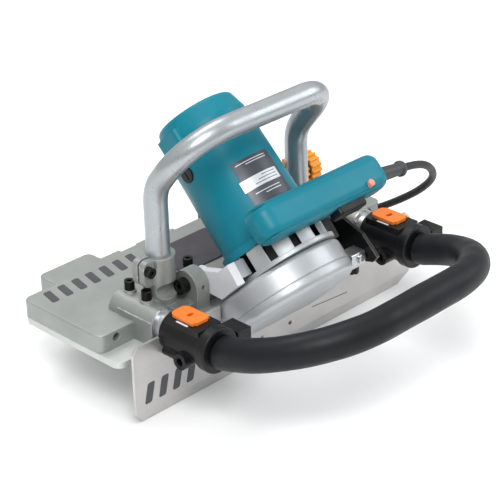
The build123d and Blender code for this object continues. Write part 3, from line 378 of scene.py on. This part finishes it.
LOOK["orange"] = worked("orange_plastic", srgb(238, 122, 34), rough=(0.36, 0.5), blotch_shade=0.92,
                        grain=2400, depth=0.02, worn=srgb(250, 178, 110), wear=0.5, edge=0.6)
LOOK["yellow"] = worked("yellow_plastic", srgb(240, 150, 12), rough=(0.3, 0.44), blotch_shade=0.9,
                        grain=2400, depth=0.02, worn=srgb(252, 200, 90), wear=0.5, edge=0.7)
LOOK["red"] = worked("red_plastic", srgb(192, 74, 74), rough=(0.34, 0.48), blotch_shade=0.88, grain=2400,
                     depth=0.02, worn=srgb(214, 120, 116), wear=0.5, edge=0.5)
LOOK["salmon"] = worked("salmon_plastic", srgb(214, 138, 120), rough=(0.34, 0.48), blotch_shade=0.9,
                        grain=2400, depth=0.02, edge=0.5)
LOOK["mat"] = worked("splash_mat_rubber", srgb(66, 62, 70), rough=(0.5, 0.68), blotch_shade=0.84,
                     grain=2000, depth=0.05, worn=srgb(120, 117, 124), wear=0.5, edge=0.5)
LOOK["steel"] = worked("turned_steel", srgb(188, 190, 192), 0.9, (0.22, 0.36), grain=1900,
                       stretch=(1, 0.1, 1), depth=0.01, edge=0.4)
LOOK["white"] = worked("white_painted_plate", srgb(214, 214, 218), 0.05, (0.36, 0.5), blotch_shade=0.95,
                       grain=1600, depth=0.015, worn=srgb(205, 206, 210), wear=0.4, edge=0.5)
LOOK["brass"] = worked("turned_brass", srgb(196, 164, 96), 0.9, (0.24, 0.4), grain=1500,
                       stretch=(0.2, 1, 1), depth=0.012, worn=srgb(224, 196, 132), edge=0.5)
LOOK["carbon"] = worked("pressed_carbon", srgb(46, 46, 48), 0.1, (0.5, 0.7), grain=3200, depth=0.03,
                        specks=0.4)
LOOK["cord"] = worked("cord_rubber", srgb(28, 28, 30), rough=(0.44, 0.6), blotch_shade=0.85, grain=2600,
                      depth=0.02)
LOOK["boot"] = worked("strain_relief_rubber", srgb(54, 55, 58), rough=(0.42, 0.58), blotch_shade=0.84,
                      grain=2300, depth=0.03)
LOOK["print"] = worked("dark_print", srgb(66, 68, 72), rough=(0.4, 0.55), blotch_shade=0.86, grain=1800,
                       depth=0.008, edge=0.2)
LOOK["label"] = worked("label_foil", srgb(66, 68, 76), 0.25, (0.3, 0.42), blotch_shade=0.88, grain=1700,
                       depth=0.006, edge=0.2)
LOOK["label_pale"] = worked("label_pale_foil", srgb(196, 200, 204), 0.3, (0.3, 0.42), blotch_shade=0.93,
                            grain=1700, depth=0.006, edge=0.2)
LOOK["seal"] = worked("seal_rubber", srgb(22, 22, 23), rough=(0.42, 0.56), grain=1900, depth=0.02)


def foam_material():
    """Closed-cell foam with a smooth skin: faint pores and a broad soft highlight."""
    surface = Surface("foam_rubber")
    slow = surface.ramp(surface.noise(9, 4), 0.3, 0.7)
    pores = surface.noise(2300, 2)
    tone = surface.mix(slow, srgb(18, 19, 22), srgb(26, 27, 31))
    tone = surface.mix(surface.ramp(pores, 0.58, 0.68, 0.0, 0.5), tone, srgb(14, 14, 17))
    roughness = surface.ramp(surface.noise(60, 4), 0.3, 0.7, 0.4, 0.54)
    swell = surface.bump(surface.noise(34, 2), 0.35 * MM)
    surface.shader.inputs["Specular IOR Level"].default_value = 0.22
    return surface.finish(tone, roughness, surface.bump(pores, 0.035 * MM, swell))


def striped_material(name, colour, dark, direction, pitch, depth, metallic, rough):
    """Stacked sheets or wound wire: fine stripes square to a direction."""
    surface = Surface(name, metallic)
    stripe = surface.stripes(surface.along(direction), pitch)
    slow = surface.ramp(surface.noise(40, 3), 0.3, 0.7)
    tone = surface.mix(slow, shade(colour, 0.82), colour)
    tone = surface.mix(surface.ramp(stripe, 0.3, 0.0), tone, dark)
    roughness = surface.ramp(surface.noise(300, 3), 0.3, 0.7, *rough)
    return surface.finish(tone, roughness, surface.bump(stripe, depth * MM, surface.rounded(0.4 * MM)))


def blade_material():
    """Ground steel with circular grinding marks and a speckled diamond rim."""
    surface = Surface("diamond_blade_steel", 0.85)
    reach = surface.away_from(BLADE_CENTRE)
    rings = surface.stripes(reach, 0.7 * MM)
    tone = surface.mix(surface.ramp(rings, 0, 1, 0.0, 0.35), srgb(176, 178, 181), srgb(146, 148, 152))
    rim = surface.ramp(reach, 55.2 * MM, 55.8 * MM)
    grit = surface.ramp(surface.noise(2600, 2), 0.42, 0.6)
    tone = surface.mix(rim, tone, surface.mix(grit, srgb(70, 64, 58), srgb(132, 122, 108)))
    roughness = surface.ramp(rim, 0, 1, 0.28, 0.72)
    height = surface.math("MULTIPLY", grit, rim)
    return surface.finish(tone, roughness, surface.bump(height, 0.12 * MM, surface.rounded(0.3 * MM)))


LOOK["foam"] = foam_material()
LOOK["laminated"] = striped_material("laminated_steel", srgb(112, 113, 117), srgb(52, 52, 55), SPIN,
                                     0.8 * MM, 0.05, 0.7, (0.4, 0.55))
LOOK["winding"] = striped_material("enamelled_copper", srgb(186, 104, 58), srgb(96, 44, 22), SPIN, 1.1 * MM,
                                   0.25, 0.6, (0.28, 0.42))
LOOK["commutator"] = worked("commutator_copper", srgb(190, 118, 74), 0.85, (0.26, 0.42), grain=1500,
                            depth=0.015, edge=0.3)
LOOK["blade"] = blade_material()

NODE_FINISH = {
    "teal": ("motor_housing", "rear_cap", "handle_front", "handle_rear"),
    "cast": ("left_bracket", "right_bracket", "bearing_plate", "fence_spacers"),
    "casting_top": ("base_casting",),
    "sole": ("sole_plate",),
    "guard": ("blade_guard",),
    "slotted": ("gear_case",),
    "fence": ("fence_plate",),
    "hoop": ("hoop_handle",),
    "black": ("left_coupler", "right_coupler", "left_knob", "right_knob", "trigger", "switch_body",
              "cooling_fan", "brush_caps", "stop_screw"),
    "oxide": ("base_screws", "clamp_screws", "pivot_pins", "housing_screws", "blade_bolt"),
    "bracket": ("stop_bracket", "right_cradle"),
    "orange": ("left_latch", "right_latch"),
    "yellow": ("hose_coupling",),
    "red": ("tap_lever",),
    "salmon": ("lock_button",),
    "mat": ("splash_mat",),
    "steel": ("handle_tube", "coupler_collars", "stop_block", "motor_shaft", "motor_bearings",
              "spindle_bearing", "pinion_gear", "drive_gear", "spindle", "outer_flange"),
    "white": ("left_cradle",),
    "brass": ("water_valve", "brush_holders"),
    "carbon": ("carbon_brushes",),
    "laminated": ("stator_core", "armature_core"),
    "winding": ("field_coils",),
    "commutator": ("commutator",),
    "blade": ("diamond_blade",),
}


def paint_nodes():
    """Every node that is carried over from the CAD gets its own material."""
    for key, names in NODE_FINISH.items():
        for name in names:
            materials = NODES[name].data.materials
            materials.clear()
            materials.append(LOOK[key])


paint_nodes()


# ================= mesh helpers =================
def new_piece(name, mesh, material, body):
    """A finished mesh becomes a piece that rides on a body."""
    piece = bpy.data.objects.new(name, mesh)
    bpy.context.scene.collection.objects.link(piece)
    mesh.materials.clear()
    mesh.materials.append(material)
    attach(piece, body)
    return piece


def mesh_from(name, points, faces, smooth=True):
    mesh = bpy.data.meshes.new(name)
    mesh.from_pydata([tuple(point) for point in points], [], faces)
    shape = bmesh.new()
    shape.from_mesh(mesh)
    bmesh.ops.recalc_face_normals(shape, faces=shape.faces)
    for face in shape.faces:
        face.smooth = smooth
    shape.to_mesh(mesh)
    shape.free()
    return mesh


def ring_round(centre, side, other, radius, count):
    """Points of a circle, in the plane of two directions."""
    points = []
    for i in range(count):
        angle = 2 * math.pi * i / count
        points.append(centre + (side * math.cos(angle) + other * math.sin(angle)) * radius)
    return points


def skin(name, rings):
    """A closed skin over a list of equal rings of points."""
    count = len(rings[0])
    points = [point for ring in rings for point in ring]
    faces = []
    for row in range(len(rings) - 1):
        for i in range(count):
            j = (i + 1) % count
            faces.append((row * count + i, row * count + j, (row + 1) * count + j, (row + 1) * count + i))
    faces.append(tuple(range(count)))
    faces.append(tuple((len(rings) - 1) * count + i for i in range(count)))
    return mesh_from(name, points, faces)


def turned(name, start, way, profile, count=56):
    """A body of revolution: profile is (distance, radius) pairs in millimetres along way from start."""
    way = way.normalized()
    side = way.orthogonal().normalized()
    other = way.cross(side)
    rings = []
    for along, radius in profile:
        rings.append(ring_round(start + way * along * MM, side, other, radius * MM, count))
    return skin(name, rings)


def bead(at, radius, rise, half, steps=6):
    """Profile points of a rounded bead centred at a distance, standing proud by rise."""
    return [
        (at + half * math.cos(math.pi * (1 - i / steps)), radius + rise * math.sin(math.pi * i / steps))
        for i in range(steps + 1)
    ]


def bent_tube_line(points, radii, step):
    """The handle tube's centreline: straight lengths of tube joined by bends."""
    route = [points[0]]
    for before, corner, after, radius in zip(points, points[1:], points[2:], radii):
        into = (corner - before).normalized()
        out = (after - corner).normalized()
        half = into.angle(out) / 2
        cut = radius * math.tan(half)
        centre = corner + (out - into).normalized() * radius / math.cos(half)
        first = corner - into * cut - centre
        turn = into.cross(out).normalized()
        arc_steps = max(4, round(2 * half * radius / step))
        for i in range(arc_steps + 1):
            route.append(centre + Matrix.Rotation(2 * half * i / arc_steps, 3, turn) @ first)
    route.append(points[-1])
    return closely_spaced(route, step)


def closely_spaced(route, step):
    """The same tube line with its long lengths divided, so that the foam's skin is even."""
    dense = [route[0]]
    for here, after in zip(route, route[1:]):
        pieces = max(1, round((after - here).length / step))
        for i in range(1, pieces + 1):
            dense.append(here.lerp(after, i / pieces))
    return dense


def carried_rings(route, radius_at, count):
    """Rings of points round a route, turned as little as possible from one to the next."""
    rings = []
    ahead = (route[1] - route[0]).normalized()
    side = ahead.orthogonal().normalized()
    travelled = 0.0
    for i, point in enumerate(route):
        if i:
            travelled += (point - route[i - 1]).length
        after = route[min(i + 1, len(route) - 1)]
        before = route[max(i - 1, 0)]
        ahead = (after - before).normalized()
        side = (side - ahead * side.dot(ahead)).normalized()
        other = ahead.cross(side)
        rings.append(ring_round(point, side, other, radius_at(travelled), count))
    return rings


# ================= front handle foam =================
def foam_sleeve():
    """The soft grip: the tube's route with rolled ends and a very slight unevenness."""
    end_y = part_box("foam_grip")[1].y
    radius = 16 * MM
    coupler_x = 138 * MM
    height = 25 * MM
    bend_y = -66 * MM
    rise = math.radians(18)
    reach = 116 * MM
    spread = coupler_x + 3 * MM

    def corner(x):
        return Vector((x, bend_y - reach * math.cos(rise), height + reach * math.sin(rise)))

    points = [
        Vector((-coupler_x, end_y, height)),
        Vector((-coupler_x, bend_y, height)),
        corner(-spread),
        corner(spread),
        Vector((coupler_x, bend_y, height)),
        Vector((coupler_x, end_y, height)),
    ]
    route = bent_tube_line(points, [20 * MM, 94 * MM, 94 * MM, 20 * MM], 4 * MM)
    total = sum((b - a).length for a, b in zip(route, route[1:]))
    roll = 2.2 * MM

    def radius_at(travelled):
        end = min(travelled, total - travelled)
        lip = 0.0 if end >= roll else roll - math.sqrt(max(0.0, roll ** 2 - (roll - end) ** 2))
        wave = 0.12 * MM * math.sin(travelled * 61) + 0.08 * MM * math.sin(travelled * 143 + 1)
        return radius - lip - 0.2 * MM + wave

    # Extra rings in the rolled lip at each end.
    lip_steps = [roll * share for share in (0.15, 0.4, 0.7, 1.0)]
    inward = (route[1] - route[0]).normalized()
    start_part = [route[0] + inward * step for step in lip_steps]
    inward = (route[-2] - route[-1]).normalized()
    end_part = [route[-1] + inward * step for step in reversed(lip_steps)]
    route = [route[0], *start_part, *route[1:-1], *end_part, route[-1]]
    rings = carried_rings(route, radius_at, 48)
    mesh = skin("foam_sleeve", rings)
    piece = new_piece("foam_sleeve", mesh, LOOK["foam"], "front_handle")
    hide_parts("foam_grip")


foam_sleeve()

# ================= supply cord =================
CORD_D = 8 * MM
EXIT_WAY = Vector((1, 0, -0.12)).normalized()
RELIEF_START = saw_point(92, 85, 50)
RELIEF_END = RELIEF_START + EXIT_WAY * 41 * MM
COIL = Vector((168, 212, -56)) * MM
# How far the coil's last four points climb before the end crosses over the outer turn, in millimetres.
CLIMB = (0.8, 2.4, 4.6, 6.7)
# The end's run into the plug's tail, in millimetres from the tail.
INTO_PLUG = ((-33.1, 46, -5), (-35.4, 30.7, -3.6), (-30.5, 16, -2), (-20.2, 5.3, -0.7), (-7, 0, 0), (0, 0, 0))


def coil_points():
    """Eight turns in three layers, each turn stepping sideways or up in its last third."""
    radii = [52, 44, 36, 36, 44, 52, 52, 44]
    layers = [0, 0, 0, 1, 1, 1, 2, 2]
    pitch = 8
    per_turn = 18
    first = math.radians(-20)
    points = []
    for turn, (radius, layer) in enumerate(zip(radii, layers)):
        last = turn == len(radii) - 1
        next_radius = radius if last else radii[turn + 1]
        next_layer = layer if last else layers[turn + 1]
        steps = round(per_turn * 0.66) if last else per_turn
        for i in range(steps):
            ramp = max(0.0, (i / per_turn - 2 / 3) * 3)
            share = ramp * ramp * (3 - 2 * ramp)
            here_r = radius + (next_radius - radius) * share
            here_z = (layer + (next_layer - layer) * share) * pitch + pitch / 2
            angle = first + 2 * math.pi * i / per_turn
            points.append(COIL + Vector((here_r * math.cos(angle), here_r * math.sin(angle), here_z)) * MM)
    return points


def cord_route():
    """Control points: down from the strain relief, round the coil and into the plug."""
    lead = [
        RELIEF_END,
        RELIEF_END + EXIT_WAY * 25 * MM,
        Vector((181, -40, 92)) * MM,
        Vector((200, -28, 70)) * MM,
        Vector((208, -4, 46)) * MM,
        Vector((208, 26, 24)) * MM,
        Vector((209, 58, 4)) * MM,
        Vector((213, 92, -17)) * MM,
        Vector((219, 126, -35)) * MM,
        Vector((221.8, 160, -46)) * MM,
    ]
    turns = coil_points()[:-2]
    for back, lift in enumerate(reversed(CLIMB)):
        turns[-1 - back] = turns[-1 - back] + Vector((0, 0, lift)) * MM
    tail = low_end("plug")
    into_plug = [tail + Vector(offset) * MM for offset in INTO_PLUG]
    return lead + turns + into_plug


def cord_curve():
    """The supply cord as one open spline."""
    points = cord_route()
    curve = bpy.data.curves.new("supply_cord", "CURVE")
    curve.dimensions = "3D"
    curve.bevel_depth = CORD_D / 2
    curve.bevel_resolution = 5
    curve.resolution_u = 5
    curve.use_fill_caps = True
    spline = curve.splines.new("NURBS")
    spline.points.add(len(points) - 1)
    for control, point in zip(spline.points, points):
        control.co = (*point, 1)
    spline.order_u = 3
    spline.use_endpoint_u = True
    curve.materials.append(LOOK["cord"])
    piece = bpy.data.objects.new("supply_cord", curve)
    bpy.context.scene.collection.objects.link(piece)
    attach(piece, "saw")
    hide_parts("cord", "cord_coil")
    return piece


def relief_boot():
    """A tapered rubber sleeve with a bead round its mouth."""
    profile = [(0, 0.5), (0, 7.3), (4, 7.25), (16, 6.9), (30, 6.45), (33, 6.5)]
    profile += bead(37, 6.5, 1.7, 3.2)
    profile += [(40.6, 5.6), (41, 4.6), (41, 0.5)]
    mesh = turned("relief_boot", RELIEF_START, EXIT_WAY, profile)
    piece = new_piece("relief_boot", mesh, LOOK["boot"], "saw")
    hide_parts("strain_relief")
    return piece


PIN_SIZE = (17 * MM, 1.5 * MM, 6.3 * MM)
PIN_MIDDLE = 56.4
PIN_ASIDE = 6.35


def plug_pieces():
    """A moulded two-pin plug: ribbed tail, waisted body with finger ridges, and two flat pins."""
    low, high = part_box("plug")
    centre = low_end("plug")
    half_wide, half_tall = (high.y - low.y) / 2, (high.z - low.z) / 2
    sections = [(0, 0.44, 0.52, 2.0), (1, 0.47, 0.56, 2.0)]
    for rib in range(4):
        at = 3 + rib * 4
        size = 0.5 + 0.03 * rib
        sections += [(at, size, size * 1.16, 2.0), (at + 1.2, size + 0.06, (size + 0.06) * 1.14, 2.0),
                     (at + 2.4, size, size * 1.16, 2.0)]
    sections += [(20, 0.7, 0.78, 2.4), (23, 0.9, 0.94, 3.0), (26, 0.98, 0.98, 3.4), (29, 0.96, 0.9, 3.6)]
    for ridge in range(3):
        at = 31 + ridge * 3.4
        sections += [(at, 0.93, 0.86, 3.6), (at + 1.2, 0.97, 0.93, 3.6), (at + 2.4, 0.93, 0.86, 3.6)]
    sections += [(43, 0.97, 0.95, 3.6), (46, 1.0, 1.0, 3.8), (47.4, 0.98, 0.98, 3.8), (48, 0.93, 0.93, 3.8)]
    count = 48
    rings = []
    for along, wide, tall, power in sections:
        ring = []
        for i in range(count):
            angle = 2 * math.pi * i / count
            c, s = math.cos(angle), math.sin(angle)
            y = math.copysign(abs(c) ** (2 / power), c) * half_wide * wide
            z = math.copysign(abs(s) ** (2 / power), s) * half_tall * tall
            ring.append(centre + Vector((along * MM, y, z)))
        rings.append(ring)
    body = new_piece("plug_body", skin("plug_body", rings), LOOK["black"], "saw")
    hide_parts("plug")
    shape = bmesh.new()
    for side in (-1, 1):
        made = bmesh.ops.create_cube(shape, size=1)
        place = Matrix.Translation(centre + Vector((PIN_MIDDLE, side * PIN_ASIDE, 0)) * MM)
        bmesh.ops.transform(shape, verts=made["verts"], matrix=place @ Matrix.Diagonal((*PIN_SIZE, 1)))
    bmesh.ops.bevel(shape, geom=shape.edges[:], offset=0.5 * MM, segments=3, affect="EDGES")
    mesh = bpy.data.meshes.new("plug_pins")
    shape.to_mesh(mesh)
    shape.free()
    pins = new_piece("plug_pins", mesh, LOOK["brass"], "saw")
    return body, pins


def coil_tie():
    """A flat strap round the coil on its far side."""
    angle = math.radians(75)
    outward = Vector((math.cos(angle), math.sin(angle), 0))
    along = Vector((-math.sin(angle), math.cos(angle), 0))
    middle = COIL + outward * 44 * MM + Vector((0, 0, 12 * MM))
    outline = []
    corner, half = 3.4, 11.5
    for quarter in range(4):
        for i in range(7):
            turn = math.pi / 2 * (quarter + i / 6)
            sign_x = 1 if quarter in (0, 3) else -1
            sign_z = 1 if quarter in (0, 1) else -1
            outline.append((sign_x * (half - corner) + corner * math.cos(turn),
                            sign_z * (half - corner) + corner * math.sin(turn)))
    rings = []
    for across, inset in ((-4, 0.0), (-3.6, 0.45), (3.6, 0.45), (4, 0.0), (4, -0.45), (-4, -0.45)):
        ring = []
        for x, z in outline:
            grow = 1 + inset / half
            raised = Vector((0, 0, z * grow * MM))
            ring.append(middle + outward * x * grow * MM + raised + along * across * MM)
        rings.append(ring)
    count = len(outline)
    points = [point for ring in rings for point in ring]
    faces = []
    for row in range(len(rings)):
        after = (row + 1) % len(rings)
        for i in range(count):
            j = (i + 1) % count
            faces.append((row * count + i, row * count + j, after * count + j, after * count + i))
    return new_piece("coil_tie", mesh_from("coil_tie", points, faces), LOOK["seal"], "saw")


cord_piece = cord_curve()
boot = relief_boot()
plug_body, plug_pins = plug_pieces()
tie = coil_tie()


# ================= label and printed marks =================
HOUSING_R = 48.5
HOUSING_FOOT = 53
HOUSING_TAPER = math.radians(1.2)


def housing_radius(h):
    """Outside radius of the tapered housing at a height along the motor, in millimetres."""
    return HOUSING_R - (h - HOUSING_FOOT) * math.tan(HOUSING_TAPER)


def housing_patch(name, angles, heights, lift, material):
    """A thin curved plate on the housing, between two angles and two heights."""
    across, up = 28, 10
    thick = 0.25

    def point(i, j, extra):
        angle = math.radians(angles[0] + (angles[1] - angles[0]) * i / across)
        h = heights[0] + (heights[1] - heights[0]) * j / up
        out = ACROSS * math.cos(angle) + RISE * math.sin(angle)
        return MOTOR_LINE + SPIN * h * MM + out * (housing_radius(h) + lift + extra) * MM

    points = [point(i, j, thick) for j in range(up + 1) for i in range(across + 1)]
    points += [point(i, j, -0.2) for j in range(up + 1) for i in range(across + 1)]
    row = across + 1
    back = (up + 1) * row
    faces = []
    for j in range(up):
        for i in range(across):
            a = j * row + i
            faces.append((a, a + 1, a + row + 1, a + row))
            faces.append((back + a, back + a + row, back + a + row + 1, back + a + 1))
    for i in range(across):
        faces.append((i, back + i, back + i + 1, i + 1))
        top = up * row + i
        faces.append((top, top + 1, back + top + 1, back + top))
    for j in range(up):
        a = j * row
        faces.append((a, a + row, back + a + row, back + a))
        b = a + across
        faces.append((b, back + b, back + b + row, b + row))
    return new_piece(name, mesh_from(name, points, faces, smooth=False), material, "saw")


# The label's two edges as angles round the motor in degrees, and its foot and head over the blade.
LABEL_ANGLES = (72, 126)
LABEL_HEIGHTS = (76, 122)


def rating_label():
    """A grey foil label with a pale band and a few plain rules; it carries no writing."""
    housing_patch("label_plate", LABEL_ANGLES, LABEL_HEIGHTS, 0.0, LOOK["label"])
    housing_patch("label_band", (76, 128), (91.5, 103), 0.06, LOOK["label_pale"])
    for i, (first, last, h) in enumerate(((80, 122, 118), (80, 110, 115.6), (84, 118, 86), (84, 106, 83))):
        housing_patch(f"label_rule_{i}", (first, last), (h, h + 0.8), 0.06, LOOK["label_pale"])
    for i, h in enumerate((94.2, 97.2, 100.2)):
        housing_patch(f"label_line_{i}", (80, 112 - 6 * i), (h, h + 0.7), 0.12, LOOK["label"])


def bar(name, corners, normal, thick, material, body):
    """A flat mark with rounded corners, standing a hair proud of a face; corners run round it."""
    corners = [Vector(corner) * MM for corner in corners]
    radius = 0.3 * min((corners[1] - corners[0]).length, (corners[2] - corners[1]).length)
    outline = []
    for i, corner in enumerate(corners):
        before = (corners[i - 1] - corner).normalized()
        after = (corners[(i + 1) % len(corners)] - corner).normalized()
        first, last = corner + before * radius, corner + after * radius
        for k in range(6):
            t = k / 5
            outline.append(first.lerp(corner, t).lerp(corner.lerp(last, t), t))
    lift = Vector(normal) * thick * MM
    sink = Vector(normal) * -0.1 * MM
    count = len(outline)
    points = [point + lift for point in outline] + [point + sink for point in outline]
    faces = [tuple(range(count)), tuple(reversed(range(count, 2 * count)))]
    faces += [(i, (i + 1) % count, count + (i + 1) % count, count + i) for i in range(count)]
    return new_piece(name, mesh_from(name, points, faces, smooth=False), material, body)


MARK_FIRST, MARK_PITCH = -182, 17.5


def printed_marks():
    """Plain slanted stripes on the base and the fence, where a maker would print a name."""
    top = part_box("base_casting")[1].z / MM
    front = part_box("fence_plate")[0].y / MM
    for i in range(7):
        x = MARK_FIRST + i * MARK_PITCH
        bar(f"base_mark_{i}", [(x, 122, top), (x + 9, 122, top), (x + 14, 144, top), (x + 5, 144, top)],
            (0, 0, 1), 0.12, LOOK["print"], "base")
    for i in range(4):
        x = MARK_FIRST + i * MARK_PITCH
        bar(f"fence_mark_{i}", [(x, front, -36), (x + 9, front, -36), (x + 14, front, -15),
                                (x + 5, front, -15)], (0, -1, 0), 0.12, LOOK["print"], "base")
    bar("fence_scribe", [(44, front, -25.9), (96, front, -29.9), (96, front, -29.1), (44, front, -25.1)],
        (0, -1, 0), 0.1, LOOK["print"], "base")


def latch_strips():
    """A short pale strip on the left of each latch."""
    for side in ("left", "right"):
        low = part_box(side + "_latch")[0] / MM
        x = low.x - 3.4
        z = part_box(side + "_coupler")[1].z / MM - 2.38
        bar(side + "_latch_strip", [(x, low.y + 6, z), (x + 2.2, low.y + 6, z), (x + 2.2, low.y + 21, z),
                                    (x, low.y + 21, z)], (0, 0, 1), 0.3, LOOK["white"], "base")


def hose_seal():
    """The black ring between the two halves of the hose coupling."""
    profile = [(11, 11.9), (11.1, 13.6), (12, 14.3), (15, 14.3), (15.9, 13.6), (16, 11.9)]
    mesh = turned("hose_seal", low_end("hose_coupling"), ACROSS, profile)
    new_piece("hose_seal", mesh, LOOK["seal"], "saw")


rating_label()
printed_marks()
latch_strips()
hose_seal()
